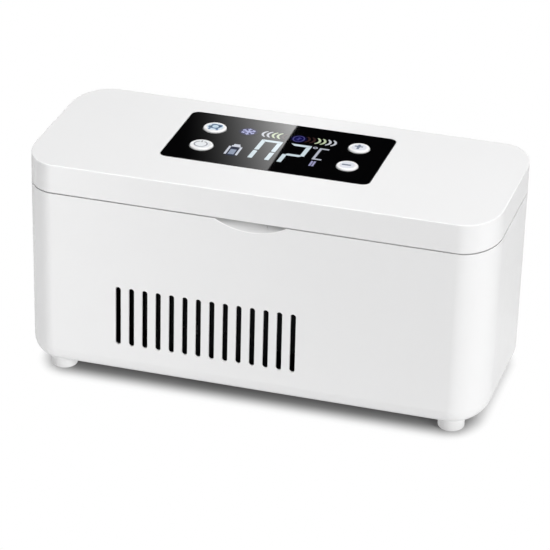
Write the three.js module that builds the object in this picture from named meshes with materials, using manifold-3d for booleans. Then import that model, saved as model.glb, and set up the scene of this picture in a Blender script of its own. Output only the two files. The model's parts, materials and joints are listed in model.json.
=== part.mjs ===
// Insulin cooling case: a lidded aluminium chamber, chilled from below, in a white housing on four feet.
// Millimetres, +Z up, +X to the right seen from the front, +Y to the rear.
// The origin is on the ground, under the middle of the case.
import * as THREE from "three";
import { mergeVertices } from "three/addons/utils/BufferGeometryUtils.js";
import Module from "manifold-3d";

const wasm = await Module();
wasm.setup();

// The case as a whole
const caseLength = 220;
const caseDepth = 93;
const housingHeight = 87.2;
const lidHeight = 13.7;
const seamGap = 0.6;
const cornerAlong = 16;
const cornerAcross = 23;
const bottomFillet = 8.5;
const lidFillet = 1;
const wall = 3;
const leastCorner = 1.2;
const draftShare = 0.008;

// Gaps and cuts
const setGap = 0.3;
const screwGap = 0.2;
const pastCut = 1;

// Facets on a quarter of a corner, and round each kind of turned piece
const cornerFacets = 6;
const filletFacets = 5;
const slotFacets = 2;
const lidEdgeFacets = 3;
const screwFacets = 8;
const smallFacets = 12;
const roundFacets = 24;
const scoopFacets = 90;
const scoopRoundFacets = 4;

// Housing
const splitHeight = 1.3;
const openingLip = 1;
const postHeight = 20;
const postRadius = 4;
const ribThickness = 2.5;
const ledgeReach = 2.5;
const ledgeThickness = 2.5;
const scoopWidth = 34.7;
const scoopDrop = 4.7;
const scoopDepth = 2.4;

// Vent slots, the same row in the front and the rear wall
const slotCount = 14;
const slotPitch = 6.4;
const slotWidth = 2.65;
const slotLength = 29.6;
const slotFoot = 15.5;
const ventX = -20.7;
const ventWall = 1.2;
const ventMargin = 2;

// Base plate and feet
const baseThickness = 3;
const grillePitch = 5.6;
const grilleSlots = 9;
const grilleWidth = 3;
const grilleMargin = 2;
const headSink = 1.6;
const footHeight = 6;
const footRadius = 6.1;
const footRounding = 1.4;
const footInsetX = 16.85;
const footInsetY = 13.8;
const footRecessRadius = 3.4;
const footRecessDepth = 3.5;

// Screws
const footScrewShank = 1.5;
const footScrewHead = 2.8;
const footScrewHeadHeight = 1.8;
const footScrewLength = 16;
const smallScrewShank = 1;
const smallScrewHead = 1.9;
const smallScrewHeadHeight = 1.2;
const clampScrewShank = 1.4;
const clampScrewHead = 2.1;
const clampScrewHeadHeight = 1.6;
const clampScrewGrip = 5;

// Lid hinge
const hingeInset = 3.2;
const barrelRadius = 2.7;
const barrelGap = 0.4;
const barrelLength = 104;
const earLength = 13.7;
const pinRadius = 1;
const pinGap = 0.1;
const pinGrip = 8;
const beamDepth = 8;
const beamHeight = 9.2;
const lidBeamHeight = 4.7;
const lidOpening = THREE.MathUtils.degToRad(95);
const stopSpare = THREE.MathUtils.degToRad(1.5);

// Chamber and what surrounds it
const deckThickness = 2.3;
const chamberCorner = 6;
const sheet = 1.5;
const flangeReach = 3.5;
const flangeThickness = 1.2;
const foamEnds = 9.5;
const foamSides = 8;
const foamEndRoom = 6;
const foamSideRoom = 3.5;
const catchLength = 12;
const catchDepth = 5;
const catchThickness = 1;
const catchX = 60;
const sensorRadius = 2.5;
const sensorLength = 15;

// Cooling stack
const fanSide = 60;
const fanHeight = 15;
const fanCorner = 4;
const fanBore = 28;
const fanHoleInset = 5;
const fanHubRadius = 11;
const fanHubHeight = 2.5;
const strutWidth = 3;
const fanStruts = 4;
const rotorHubRadius = 12.5;
const bladeTipGap = 0.8;
const bladeCount = 7;
const bladeChord = 13;
const bladeThickness = 1.2;
const bladePitch = THREE.MathUtils.degToRad(38);
const rotorLift = 0.5;
const rotorTopGap = 0.8;
const shaftRadius = 1.5;
const fanScrewReach = 10;
const finGap = 0.5;
const finHeight = 19.5;
const finThickness = 1.6;
const sinkBase = 4;
const sinkDepth = 62;
const peltierSide = 40;
const peltierHeight = 3.8;
const coldBlockLength = 44;
const coldBlockEdge = 4;
const coldBlockHeight = 8;
const clampMargin = 4;

// Battery, main board and socket
const cellRadius = 9.25;
const cellEndRoom = 14;
const cellTip = 1;
const cellTipRadius = 3;
const trayWall = 1.2;
const trayGap = 8.5;
const trayPostRadius = 2.5;
const trayPostPlaceShare = 0.6;
const boardThickness = 1.6;
const boardLift = 1;
const socketLength = 14;
const socketWidth = 10;
const socketHeight = 11;
const socketBore = 3;
const socketBoreDepth = 9;
const socketPin = 1;
const socketHole = 4.2;
const chipLength = 12;
const chipHeight = 2;
const canRadius = 4;
const canHeight = 9;
const canPitch = 12;
const canY = 8;

// Display lens, buttons and the board under them
const lensLength = 98.6;
const lensFrontMargin = 26.9;
const lensRearMargin = 13.1;
const lensCorner = 3.6;
const lensThickness = 1.6;
const lensLedge = 2;
const lensGap = 0.2;
const lensX = -2.9;
const lidTopThickness = 3.2;
const buttonLeftRadius = 5.45;
const buttonRightRadius = 5;
const buttonProud = 0.8;
const buttonGap = 0.25;
const buttonEdge = 0.5;
const buttonFlange = 1;
const buttonFlangeThickness = 0.8;
const buttonStemRadius = 2;
const buttonStemLength = 0.5;
const buttonTravel = 0.5;
const buttonPressGap = 0.1;
const buttonLeftInset = 15.25;
const buttonRightInset = 14.2;
const buttonRearShare = 0.404;
const buttonFrontShare = -0.374;
const switchSide = 6;
const switchHeight = 1;
const plungerRadius = 1.6;
const plungerHeight = 0.5;
const boardReach = 7;
const bossRadius = 2.5;
const bossRoot = 0.8;
const digitModuleSideRoom = 10.6;
const digitModuleEndRoom = 9.5;

// Inside of the lid
const linerRise = 1;
const linerThickness = 2;
const plugDrop = 4.5;
const plugGap = 2;
const plugWall = 1.5;
const gasketInner = 1.5;
const gasketOuter = 5;
const magnetThickness = 1.5;
const foamInset = 3;

// Heights and planes worked out from the sizes above
const underside = footHeight;
const rim = underside + housingHeight;
const seam = rim + seamGap / 2;
const lidBase = rim + seamGap;
const lidTop = lidBase + lidHeight;
const halfLength = caseLength / 2;
const halfDepth = caseDepth / 2;
const baseTop = underside + baseThickness;
const splitPlane = underside + splitHeight;
const ledgeTop = rim - deckThickness;
const ledgeFoot = ledgeTop - ledgeThickness;
const beamFoot = rim - beamHeight;
const beamFront = halfDepth - beamDepth;
const wellMidY = (beamFront + wall - halfDepth) / 2;
const chamberLength = caseLength - 2 * (wall + foamEndRoom + foamEnds + sheet);
const chamberWidth = caseDepth - beamDepth - wall - 2 * (foamSideRoom + foamSides + sheet);
const lensDepth = caseDepth - lensFrontMargin - lensRearMargin;
const lensY = (lensFrontMargin - lensRearMargin) / 2;
const buttonLeftX = lensX - lensLength / 2 + buttonLeftInset;
const buttonRightX = lensX + lensLength / 2 - buttonRightInset;
const buttonRearY = lensY + (buttonRearShare * lensDepth) / 2;
const buttonFrontY = lensY + (buttonFrontShare * lensDepth) / 2;
const cellLength = caseDepth - 2 * cellEndRoom;
const footX = halfLength - footInsetX;
const footY = halfDepth - footInsetY;
const fanTop = baseTop + fanHeight;
const finFoot = fanTop + finGap;
const sinkTop = finFoot + finHeight + sinkBase;
const coldBlockFoot = sinkTop + peltierHeight;
const chamberFoot = coldBlockFoot + coldBlockHeight;
const hingeY = halfDepth - hingeInset;
const hingeZ = seam;
const lensFoot = lidTop - lensThickness;
const lidCeiling = lidTop - lidTopThickness;
const stemFoot = lensFoot - buttonGap - buttonFlangeThickness - buttonStemLength;
const displayBoardTop = stemFoot - buttonTravel - buttonPressGap - plungerHeight - switchHeight;
const displayBoardFoot = displayBoardTop - boardThickness;
const linerFoot = lidBase + linerRise;
const linerTop = linerFoot + linerThickness;
const plugFoot = linerFoot - plugDrop;

const finishes = {
  whiteShell: { color: 0xf1f2f4, roughness: 0.28, metalness: 0 },
  whiteInner: { color: 0xe9eaec, roughness: 0.5, metalness: 0 },
  paleRubber: { color: 0xe6e6e6, roughness: 0.7, metalness: 0 },
  blackGloss: { color: 0x050506, roughness: 0.08, metalness: 0 },
  blackPlastic: { color: 0x1a1a1c, roughness: 0.5, metalness: 0 },
  aluminium: { color: 0xc4c7ca, roughness: 0.35, metalness: 1 },
  blackAluminium: { color: 0x2c2d2f, roughness: 0.45, metalness: 1 },
  steel: { color: 0xa9adb1, roughness: 0.3, metalness: 1 },
  foam: { color: 0xe3e0d6, roughness: 0.95, metalness: 0 },
  ceramic: { color: 0xf4f4f0, roughness: 0.4, metalness: 0 },
  circuit: { color: 0x1d5b38, roughness: 0.45, metalness: 0 },
  cellWrap: { color: 0x2b63b8, roughness: 0.35, metalness: 0 },
  seal: { color: 0x55585c, roughness: 0.8, metalness: 0 },
};

// A closed geometry as a solid that can be joined and cut, with its faces pointing out.
function solidOf(geometry) {
  const bare = geometry.clone();
  bare.deleteAttribute("normal");
  bare.deleteAttribute("uv");
  const merged = mergeVertices(bare);
  const corners = merged.index.array;
  const outward = [];
  const inward = [];
  for (let i = 0; i < corners.length; i += 3) {
    const [a, b, c] = corners.slice(i, i + 3);
    if (a === b || b === c || c === a) continue;
    outward.push(a, b, c);
    inward.push(a, c, b);
  }
  const made = (faces) =>
    new wasm.Manifold(
      new wasm.Mesh({
        numProp: 3,
        vertProperties: new Float32Array(merged.attributes.position.array),
        triVerts: new Uint32Array(faces),
      }),
    );
  const solid = made(outward);
  return solid.volume() < 0 ? made(inward) : solid;
}

const join = (first, ...others) => others.reduce((whole, other) => whole.add(other), first);
const cut = (first, ...others) => others.reduce((whole, other) => whole.subtract(other), first);
const common = (first, other) => first.intersect(other);

// A block between two opposite corners.
function block(low, high) {
  const size = high.map((value, axis) => value - low[axis]);
  const geometry = new THREE.BoxGeometry(...size);
  geometry.translate(...low.map((value, axis) => value + size[axis] / 2));
  return solidOf(geometry);
}

// An upright cylinder on the point (x, y), between two heights.
function post(x, y, foot, top, radius, facets = smallFacets) {
  const geometry = new THREE.CylinderGeometry(radius, radius, top - foot, facets);
  geometry.rotateX(Math.PI / 2);
  geometry.translate(x, y, (foot + top) / 2);
  return solidOf(geometry);
}

// A cylinder along X, between two x places.
function bar(y, z, start, end, radius, facets = smallFacets) {
  const geometry = new THREE.CylinderGeometry(radius, radius, end - start, facets);
  geometry.rotateZ(Math.PI / 2);
  geometry.translate((start + end) / 2, y, z);
  return solidOf(geometry);
}

// A cylinder along Y, between two y places.
function borer(x, z, start, end, radius, facets = smallFacets) {
  const geometry = new THREE.CylinderGeometry(radius, radius, end - start, facets);
  geometry.translate(x, (start + end) / 2, z);
  return solidOf(geometry);
}

// A piece turned about the Z axis from a profile of [radius, height] points.
function turned(profile, facets = smallFacets) {
  const points = profile.map(([radius, height]) => new THREE.Vector2(radius, height));
  const geometry = new THREE.LatheGeometry(points, facets);
  geometry.rotateX(Math.PI / 2);
  return solidOf(geometry);
}

// The outline of an oblong with rounded corners, counter-clockwise from above.
function oblong(halfX, halfY, cornerX, cornerY, facets = cornerFacets, midX = 0, midY = 0) {
  const points = [];
  for (let quarter = 0; quarter < 4; quarter += 1) {
    const sideX = quarter === 0 || quarter === 3 ? 1 : -1;
    const sideY = quarter < 2 ? 1 : -1;
    for (let step = 0; step <= facets; step += 1) {
      const turn = ((quarter + step / facets) * Math.PI) / 2;
      const x = midX + sideX * (halfX - cornerX) + cornerX * Math.cos(turn);
      const y = midY + sideY * (halfY - cornerY) + cornerY * Math.sin(turn);
      points.push(new THREE.Vector2(x, y));
    }
  }
  return points;
}

// An upright plate of a given outline, between two heights.
function plate(outline, foot, top) {
  const shape = new THREE.Shape(outline);
  const geometry = new THREE.ExtrudeGeometry(shape, { depth: top - foot, bevelEnabled: false });
  geometry.translate(0, 0, foot);
  return solidOf(geometry);
}

// A body skinned over outlines stacked from the lowest to the highest.
function loft(rings) {
  const count = rings[0].outline.length;
  const places = rings.flatMap(({ z, outline }) => outline.flatMap(({ x, y }) => [x, y, z]));
  const last = (rings.length - 1) * count;
  const faces = [];
  for (let foot = 0; foot < last; foot += count) {
    for (let i = 0; i < count; i += 1) {
      const a = foot + i;
      const b = foot + ((i + 1) % count);
      faces.push(a, b, b + count, a, b + count, a + count);
    }
  }
  for (let i = 1; i + 1 < count; i += 1) {
    faces.push(0, i + 1, i, last, last + i, last + i + 1);
  }
  const geometry = new THREE.BufferGeometry();
  geometry.setAttribute("position", new THREE.Float32BufferAttribute(places, 3));
  geometry.setIndex(faces);
  return solidOf(geometry);
}

// A prism along X whose section is a list of [y, z] points.
function prism(section, start, end) {
  const shape = new THREE.Shape(section.map(([y, z]) => new THREE.Vector2(y, z)));
  const geometry = new THREE.ExtrudeGeometry(shape, { depth: end - start, bevelEnabled: false });
  geometry.applyMatrix4(new THREE.Matrix4().set(0, 0, 1, start, 1, 0, 0, 0, 0, 1, 0, 0, 0, 0, 0, 1));
  return solidOf(geometry);
}

// A screw with its head down on the origin and its shank up.
function screw(headRadius, headHeight, shankRadius, shankLength) {
  return turned(
    [
      [0, 0],
      [headRadius, 0],
      [headRadius, headHeight],
      [shankRadius, headHeight],
      [shankRadius, headHeight + shankLength],
      [0, headHeight + shankLength],
    ],
    screwFacets,
  );
}

// A named mesh of a solid, in one of the finishes, at its place.
function piece(name, solid, finish, place = [0, 0, 0]) {
  const { vertProperties, triVerts } = solid.getMesh();
  const geometry = new THREE.BufferGeometry();
  geometry.setAttribute("position", new THREE.BufferAttribute(new Float32Array(vertProperties), 3));
  geometry.setIndex(new THREE.BufferAttribute(new Uint32Array(triVerts), 1));
  geometry.computeVertexNormals();
  const mesh = new THREE.Mesh(geometry, new THREE.MeshStandardMaterial(finishes[finish]));
  mesh.name = name;
  mesh.position.set(...place);
  return mesh;
}

// The four corners round a middle point, with the words that name them.
function fourCorners(midX, midY, reachX, reachY) {
  return [
    { corner: "front_left", x: midX - reachX, y: midY - reachY },
    { corner: "front_right", x: midX + reachX, y: midY - reachY },
    { corner: "rear_left", x: midX - reachX, y: midY + reachY },
    { corner: "rear_right", x: midX + reachX, y: midY + reachY },
  ];
}

const corner = (size, inset) => Math.max(size - inset, leastCorner);

// How far each side has closed in at a height, by the draft.
const narrowing = (z) => draftShare * (rim - z);

// The plan of the case, drawn in by an inset.
function caseOutline(inset) {
  const cornerX = corner(cornerAlong, inset);
  const cornerY = corner(cornerAcross, inset);
  return oblong(halfLength - inset, halfDepth - inset, cornerX, cornerY);
}

// The plan of the well in front of the hinge beam, drawn in by an inset counted from the outer faces.
function wellOutline(inset) {
  const front = inset - halfDepth;
  const rear = beamFront - (inset - wall);
  const cornerX = corner(cornerAlong, inset);
  const cornerY = corner(cornerAcross, inset);
  const halfY = (rear - front) / 2;
  return oblong(halfLength - inset, halfY, cornerX, cornerY, cornerFacets, 0, (rear + front) / 2);
}

// The plan of the chamber's mouth, grown by a margin.
function mouthOutline(margin) {
  const cornerSize = corner(chamberCorner, -margin);
  const halfX = chamberLength / 2 + margin;
  const halfY = chamberWidth / 2 + margin;
  return oblong(halfX, halfY, cornerSize, cornerSize, slotFacets, 0, wellMidY);
}

// The holes of the small screws at a list of places, between two heights.
function smallHoles(places, foot, top) {
  return places.map(({ x, y }) => post(x, y, foot, top, smallScrewShank + screwGap, screwFacets));
}

// The case body up to a height, with the rounded lower edge, drawn in by an inset.
function caseBody(inset, top) {
  const fillet = bottomFillet - inset;
  const rings = [];
  for (let step = 0; step <= filletFacets; step += 1) {
    const turn = ((step / filletFacets) * Math.PI) / 2;
    const z = underside + bottomFillet - fillet * Math.cos(turn);
    const drawnIn = inset + fillet * (1 - Math.sin(turn)) + narrowing(z);
    rings.push({ z, outline: caseOutline(drawnIn) });
  }
  rings.push({ z: top, outline: caseOutline(inset + narrowing(top)) });
  return loft(rings);
}

const wholeBody = caseBody(0, rim);
const openingInset = bottomFillet + narrowing(underside) + openingLip;
const caseFeet = fourCorners(0, 0, footX, footY);
const fanCorners = fourCorners(ventX, wellMidY, fanSide / 2 - fanHoleInset, fanSide / 2 - fanHoleInset);

// The vent slots of one row, as cutters through both walls.
function ventCutters() {
  const round = slotWidth / 2;
  const cutters = [];
  for (let i = 0; i < slotCount; i += 1) {
    const x = ventX + (i - (slotCount - 1) / 2) * slotPitch;
    const outline = oblong(round, slotLength / 2, round, round, slotFacets);
    const shape = new THREE.Shape(outline);
    const geometry = new THREE.ExtrudeGeometry(shape, { depth: caseDepth + pastCut, bevelEnabled: false });
    geometry.rotateX(Math.PI / 2);
    geometry.translate(x, (caseDepth + pastCut) / 2, underside + slotFoot + slotLength / 2);
    cutters.push(solidOf(geometry));
  }
  return cutters;
}

// The room behind each row of slots, where the wall is thinner.
function ventPockets() {
  const reach = ((slotCount - 1) * slotPitch + slotWidth) / 2 + ventMargin;
  const foot = underside + slotFoot - ventMargin;
  const top = underside + slotFoot + slotLength + ventMargin;
  const outer = halfDepth - narrowing((foot + top) / 2) - ventWall;
  const inner = outer - wall;
  return [
    block([ventX - reach, -outer, foot], [ventX + reach, -inner, top]),
    block([ventX - reach, inner, foot], [ventX + reach, outer, top]),
  ];
}

// The cutter of the thumb scoop: a disc on the Y axis with a rounded inner rim, let into the front wall.
function scoopCutter() {
  const radius = scoopWidth ** 2 / 8 / scoopDrop + scoopDrop / 2;
  const points = [new THREE.Vector2(0, -pastCut), new THREE.Vector2(radius, -pastCut)];
  for (let step = 0; step <= scoopRoundFacets; step += 1) {
    const turn = ((step / scoopRoundFacets) * Math.PI) / 2;
    const reach = radius - scoopDepth * (1 - Math.cos(turn));
    points.push(new THREE.Vector2(reach, scoopDepth * Math.sin(turn)));
  }
  points.push(new THREE.Vector2(0, scoopDepth));
  const geometry = new THREE.LatheGeometry(points, scoopFacets);
  geometry.translate(0, -halfDepth, rim - scoopDrop + radius);
  return solidOf(geometry);
}

// The wedge of room behind the hinge axis, on the lower or the upper side of the seam.
function hingeWedge(side) {
  const reach = hingeInset + pastCut;
  const rise = reach * Math.tan(lidOpening / 2 + stopSpare);
  const section = [
    [hingeY, hingeZ],
    [hingeY + reach, hingeZ + side * rise],
    [hingeY + reach, hingeZ - side * reach],
    [hingeY, hingeZ - side * reach],
  ];
  return prism(section, -halfLength - pastCut, halfLength + pastCut);
}

const barrelEnd = barrelLength / 2;
const earStart = barrelEnd + setGap;
const earEnd = earStart + earLength;

// The two stretches of hinge at the left and the right, between two distances from the middle.
const hingeStretches = (start, end, radius) => [
  bar(hingeY, hingeZ, -end, -start, radius),
  bar(hingeY, hingeZ, start, end, radius),
];

const pinCutters = () => hingeStretches(barrelEnd - pinGrip, earEnd + pastCut, pinRadius + pinGap);

function housing() {
  const wellInset = wall + narrowing(beamFoot);
  const belowSplit = block([-caseLength, -caseDepth, 0], [caseLength, caseDepth, splitPlane + setGap]);
  let shell = cut(
    wholeBody,
    belowSplit,
    plate(caseOutline(openingInset), 0, underside + wall + pastCut),
    caseBody(wall, beamFoot),
    plate(wellOutline(wellInset), beamFoot - pastCut, ledgeFoot),
    plate(wellOutline(wellInset + ledgeReach), beamFoot, rim + pastCut),
    plate(wellOutline(wellInset), ledgeTop, rim + pastCut),
  );
  for (const { x, y } of caseFeet) {
    const foot = baseTop + setGap;
    const top = baseTop + postHeight;
    const inner = Math.min(x, Math.sign(x) * caseLength);
    const outer = Math.max(x, Math.sign(x) * caseLength);
    const rib = block([inner, y - ribThickness / 2, foot], [outer, y + ribThickness / 2, top]);
    const screwTop = footRecessDepth + footScrewLength + pastCut;
    const bore = post(x, y, 0, screwTop, footScrewShank + screwGap);
    shell = cut(join(shell, common(join(post(x, y, foot, top, postRadius), rib), wholeBody)), bore);
  }
  shell = cut(shell, hingeWedge(-1));
  shell = join(shell, bar(hingeY, hingeZ, -barrelEnd, barrelEnd, barrelRadius));
  const socketCut = borer(socketX, socketZ, 0, caseDepth, socketHole);
  return cut(
    shell,
    ...hingeStretches(barrelEnd, earEnd + setGap, barrelRadius + barrelGap),
    ...pinCutters(),
    ...ventPockets(),
    ...ventCutters(),
    scoopCutter(),
    socketCut,
  );
}

// The base plate carries the lowest part of the rounded edge, and its top is set into the housing.
function basePlate() {
  const edge = common(wholeBody, block([-caseLength, -caseDepth, 0], [caseLength, caseDepth, splitPlane]));
  let base = join(edge, plate(caseOutline(openingInset + setGap), underside, baseTop));
  for (const { x, y } of caseFeet) {
    base = cut(base, post(x, y, 0, rim, footScrewShank + screwGap));
  }
  for (const { x, y } of fanCorners) {
    const sunkHead = post(x, y, 0, underside + headSink, smallScrewHead + screwGap);
    base = cut(base, post(x, y, 0, rim, smallScrewShank + screwGap), sunkHead);
  }
  const grilleRadius = fanBore - grilleMargin;
  for (let i = 0; i < grilleSlots; i += 1) {
    const offset = (i - (grilleSlots - 1) / 2) * grillePitch;
    const half = Math.sqrt(grilleRadius ** 2 - offset ** 2);
    const round = grilleWidth / 2;
    const outline = oblong(round, half, round, round, slotFacets, ventX + offset, wellMidY);
    base = cut(base, plate(outline, 0, rim));
  }
  return base;
}

// A foot, turned, with a recess from below for its screw.
function foot() {
  return turned([
    [footScrewShank + screwGap, footHeight],
    [footScrewShank + screwGap, footRecessDepth],
    [footRecessRadius, footRecessDepth],
    [footRecessRadius, 0],
    [footRadius - footRounding, 0],
    [footRadius, footRounding],
    [footRadius, footHeight],
    [footScrewShank + screwGap, footHeight],
  ], roundFacets / 2);
}

const catchY = (wellMidY - chamberWidth / 2 - gasketOuter - halfDepth + wall) / 2;

// The block of a catch plate or a magnet in the front land, between two heights.
function catchBlock(side, foot, top, gap) {
  const reachX = catchLength / 2 + gap;
  const reachY = catchDepth / 2 + gap;
  const x = side * catchX;
  return block([x - reachX, catchY - reachY, foot], [x + reachX, catchY + reachY, top]);
}

function topDeck() {
  const deck = plate(wellOutline(wall + narrowing(beamFoot) + setGap), ledgeTop, rim);
  const pockets = [-1, 1].map((side) => catchBlock(side, rim - catchThickness, rim + pastCut, setGap));
  return cut(deck, plate(mouthOutline(0), 0, lidTop), ...pockets);
}

function coolingChamber() {
  const tray = plate(mouthOutline(sheet), chamberFoot, ledgeTop);
  const flange = plate(mouthOutline(sheet + flangeReach), ledgeTop - flangeThickness, ledgeTop);
  return cut(join(tray, flange), plate(mouthOutline(0), chamberFoot + sheet, rim));
}

const clampX = ventX + slotPitch / 2;
const clampReach = peltierSide / 2 + clampMargin;
const clampPlaces = [
  { end: "front", y: wellMidY - clampReach },
  { end: "rear", y: wellMidY + clampReach },
];
const clampScrewLength = sinkBase + peltierHeight + clampScrewGrip;
const coldBlockHalfX = coldBlockLength / 2;
const coldBlockHalfY = clampReach + coldBlockEdge;

const chamberEndX = chamberLength / 2 + sheet;
const sensorX = chamberEndX + sensorRadius + setGap;
const sensorTop = ledgeTop - flangeThickness - setGap;

function insulationFoam() {
  const mouth = mouthOutline(sheet + setGap);
  const halfX = chamberEndX + foamEnds;
  const halfY = chamberWidth / 2 + sheet + foamSides;
  const top = ledgeTop - flangeThickness - setGap;
  const outer = oblong(halfX, halfY, chamberCorner, chamberCorner, slotFacets, 0, wellMidY);
  const blockX = coldBlockHalfX + setGap;
  const blockY = coldBlockHalfY + setGap;
  const slotReach = sensorRadius + setGap;
  return cut(
    plate(outer, coldBlockFoot, top),
    plate(mouth, chamberFoot, rim),
    block([ventX - blockX, wellMidY - blockY, underside], [ventX + blockX, wellMidY + blockY, rim]),
    block(
      [chamberEndX - pastCut, wellMidY - slotReach, sensorTop - sensorLength - setGap],
      [sensorX + slotReach, wellMidY + slotReach, rim],
    ),
  );
}

function clampCutters(top) {
  return clampPlaces.map(({ y }) => post(clampX, y, finFoot, top, clampScrewShank + screwGap));
}

function coldBlock() {
  const whole = block(
    [ventX - coldBlockHalfX, wellMidY - coldBlockHalfY, coldBlockFoot],
    [ventX + coldBlockHalfX, wellMidY + coldBlockHalfY, chamberFoot],
  );
  return cut(whole, ...clampCutters(coldBlockFoot + clampScrewGrip + setGap));
}

function peltierModule() {
  const half = peltierSide / 2;
  return block([ventX - half, wellMidY - half, sinkTop], [ventX + half, wellMidY + half, coldBlockFoot]);
}

const finCount = slotCount - 1;
const sinkEdge = ventX + ((finCount - 1) * slotPitch + finThickness) / 2;

// The heat sink has one fin between every two vent slots, so air runs straight through.
function heatSink() {
  const front = wellMidY - sinkDepth / 2;
  const rear = wellMidY + sinkDepth / 2;
  const fins = [];
  for (let i = 0; i < finCount; i += 1) {
    const x = ventX + (i - (finCount - 1) / 2) * slotPitch;
    fins.push(block([x - finThickness / 2, front, finFoot], [x + finThickness / 2, rear, sinkTop]));
  }
  const slab = block([2 * ventX - sinkEdge, front, sinkTop - sinkBase], [sinkEdge, rear, sinkTop]);
  return cut(join(slab, ...fins), ...clampCutters(sinkTop + pastCut));
}

function fanFrame() {
  const half = fanSide / 2;
  const outline = oblong(half, half, fanCorner, fanCorner, slotFacets, ventX, wellMidY);
  let frame = cut(plate(outline, baseTop, fanTop), post(ventX, wellMidY, 0, rim, fanBore, roundFacets));
  frame = join(frame, post(ventX, wellMidY, baseTop, baseTop + fanHubHeight, fanHubRadius, roundFacets));
  for (let i = 0; i < fanStruts; i += 1) {
    const strut = new THREE.BoxGeometry(fanBore, strutWidth, fanHubHeight);
    strut.translate(fanBore / 2 + shaftRadius + strutWidth, 0, baseTop + fanHubHeight / 2);
    strut.rotateZ(((i + 1 / 2) / fanStruts) * 2 * Math.PI);
    strut.translate(ventX, wellMidY, 0);
    frame = join(frame, solidOf(strut));
  }
  const shaftHole = post(ventX, wellMidY, 0, rim, shaftRadius + setGap);
  return cut(frame, shaftHole, ...smallHoles(fanCorners, 0, rim));
}

// The rotor stands on the Z axis and is placed over the fan's hub.
function fanRotor() {
  const foot = fanHubHeight + rotorLift;
  const top = fanHeight - rotorTopGap;
  const tip = fanBore - bladeTipGap;
  let rotor = join(
    post(0, 0, foot, top, rotorHubRadius, roundFacets),
    post(0, 0, setGap, top, shaftRadius),
  );
  const bladeLength = tip - rotorHubRadius + bladeThickness * 2;
  for (let i = 0; i < bladeCount; i += 1) {
    const blade = new THREE.BoxGeometry(bladeLength, bladeChord, bladeThickness);
    blade.rotateX(bladePitch);
    blade.translate(rotorHubRadius - bladeThickness + bladeLength / 2, 0, (foot + top) / 2);
    blade.rotateZ((i / bladeCount) * 2 * Math.PI);
    rotor = join(rotor, solidOf(blade));
  }
  return common(rotor, post(0, 0, 0, fanHeight, tip, roundFacets));
}

const trayLeft = sinkEdge + trayGap;
const cellSpace = cellRadius + setGap / 2;
const trayRight = trayLeft + 2 * trayWall + 4 * cellSpace;
const trayMidX = (trayLeft + trayRight) / 2;
const trayReachY = cellLength / 2 + cellTip + setGap + trayWall;
const cellFoot = baseTop + trayWall + setGap;
const mainBoardFoot = cellFoot + 2 * cellRadius + boardLift;
const mainBoardTop = mainBoardFoot + boardThickness;
const trayPostReach = (trayRight - trayLeft) / 2 - trayWall + trayPostRadius;
const trayPosts = fourCorners(trayMidX, 0, trayPostReach, trayReachY * trayPostPlaceShare);
const socketX = trayRight - trayWall - socketWidth;
const socketZ = mainBoardTop + socketHeight / 2;
const socketRear = halfDepth - wall - narrowing(socketZ) - setGap;

// The tray's end walls carry the main board; its side walls are low, with a screw post outside each corner.
function batteryTray() {
  const innerReachY = trayReachY - trayWall;
  const inside = block(
    [trayLeft + trayWall, -innerReachY, baseTop + trayWall],
    [trayRight - trayWall, innerReachY, rim],
  );
  const overSides = block(
    [trayLeft - pastCut, -innerReachY, cellFoot + cellRadius],
    [trayRight + pastCut, innerReachY, rim],
  );
  const whole = block([trayLeft, -trayReachY, baseTop], [trayRight, trayReachY, mainBoardFoot]);
  const posts = trayPosts.map(({ x, y }) => post(x, y, baseTop, mainBoardFoot, trayPostRadius));
  return cut(join(cut(whole, overSides), ...posts), inside, ...smallHoles(trayPosts, cellFoot, rim));
}

// A battery cell on the Y axis, with the raised tip of its plus end.
function batteryCell() {
  const half = cellLength / 2;
  return join(
    borer(0, 0, -half, half, cellRadius, roundFacets / 2),
    borer(0, 0, half - cellTip, half + cellTip, cellTipRadius),
  );
}

function mainBoard() {
  const reachX = trayPostReach + trayPostRadius;
  const front = -trayReachY;
  const board = block(
    [trayMidX - reachX, front, mainBoardFoot],
    [trayMidX + reachX, socketRear, mainBoardTop],
  );
  const chip = block(
    [trayMidX - chipLength, front + chipLength, mainBoardFoot + boardThickness / 2],
    [trayMidX, front + 2 * chipLength, mainBoardTop + chipHeight],
  );
  const cans = [0, 1].map((row) =>
    post(
      trayMidX - chipLength,
      canY + row * canPitch,
      mainBoardFoot + boardThickness / 2,
      mainBoardTop + canHeight,
      canRadius,
    ),
  );
  return cut(join(board, chip, ...cans), ...smallHoles(trayPosts, 0, rim));
}

function dcJack() {
  const half = socketWidth / 2;
  const body = block(
    [socketX - half, socketRear - socketLength, mainBoardTop],
    [socketX + half, socketRear, mainBoardTop + socketHeight],
  );
  const boreEnd = socketRear - socketBoreDepth;
  const bore = borer(socketX, socketZ, boreEnd, socketRear + pastCut, socketBore);
  const pin = borer(socketX, socketZ, boreEnd - pastCut, socketRear - pastCut, socketPin);
  return join(cut(body, bore), pin);
}

// The lid's skin, with its rounded upper edge.
function lidBody() {
  const rings = [{ z: lidBase, outline: caseOutline(0) }];
  for (let step = 0; step <= lidEdgeFacets; step += 1) {
    const turn = ((step / lidEdgeFacets) * Math.PI) / 2;
    const z = lidTop - lidFillet * (1 - Math.sin(turn));
    rings.push({ z, outline: caseOutline(lidFillet * (1 - Math.cos(turn))) });
  }
  return loft(rings);
}

const lensOutline = (margin) => {
  const size = corner(lensCorner, -margin);
  const halfX = lensLength / 2 + margin;
  return oblong(halfX, lensDepth / 2 + margin, size, size, slotFacets * 2, lensX, lensY);
};

const displayCorners = fourCorners(
  lensX,
  lensY,
  lensLength / 2 - lensLedge + boardReach / 2,
  lensDepth / 2 - lensLedge + boardReach / 2,
);

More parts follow.
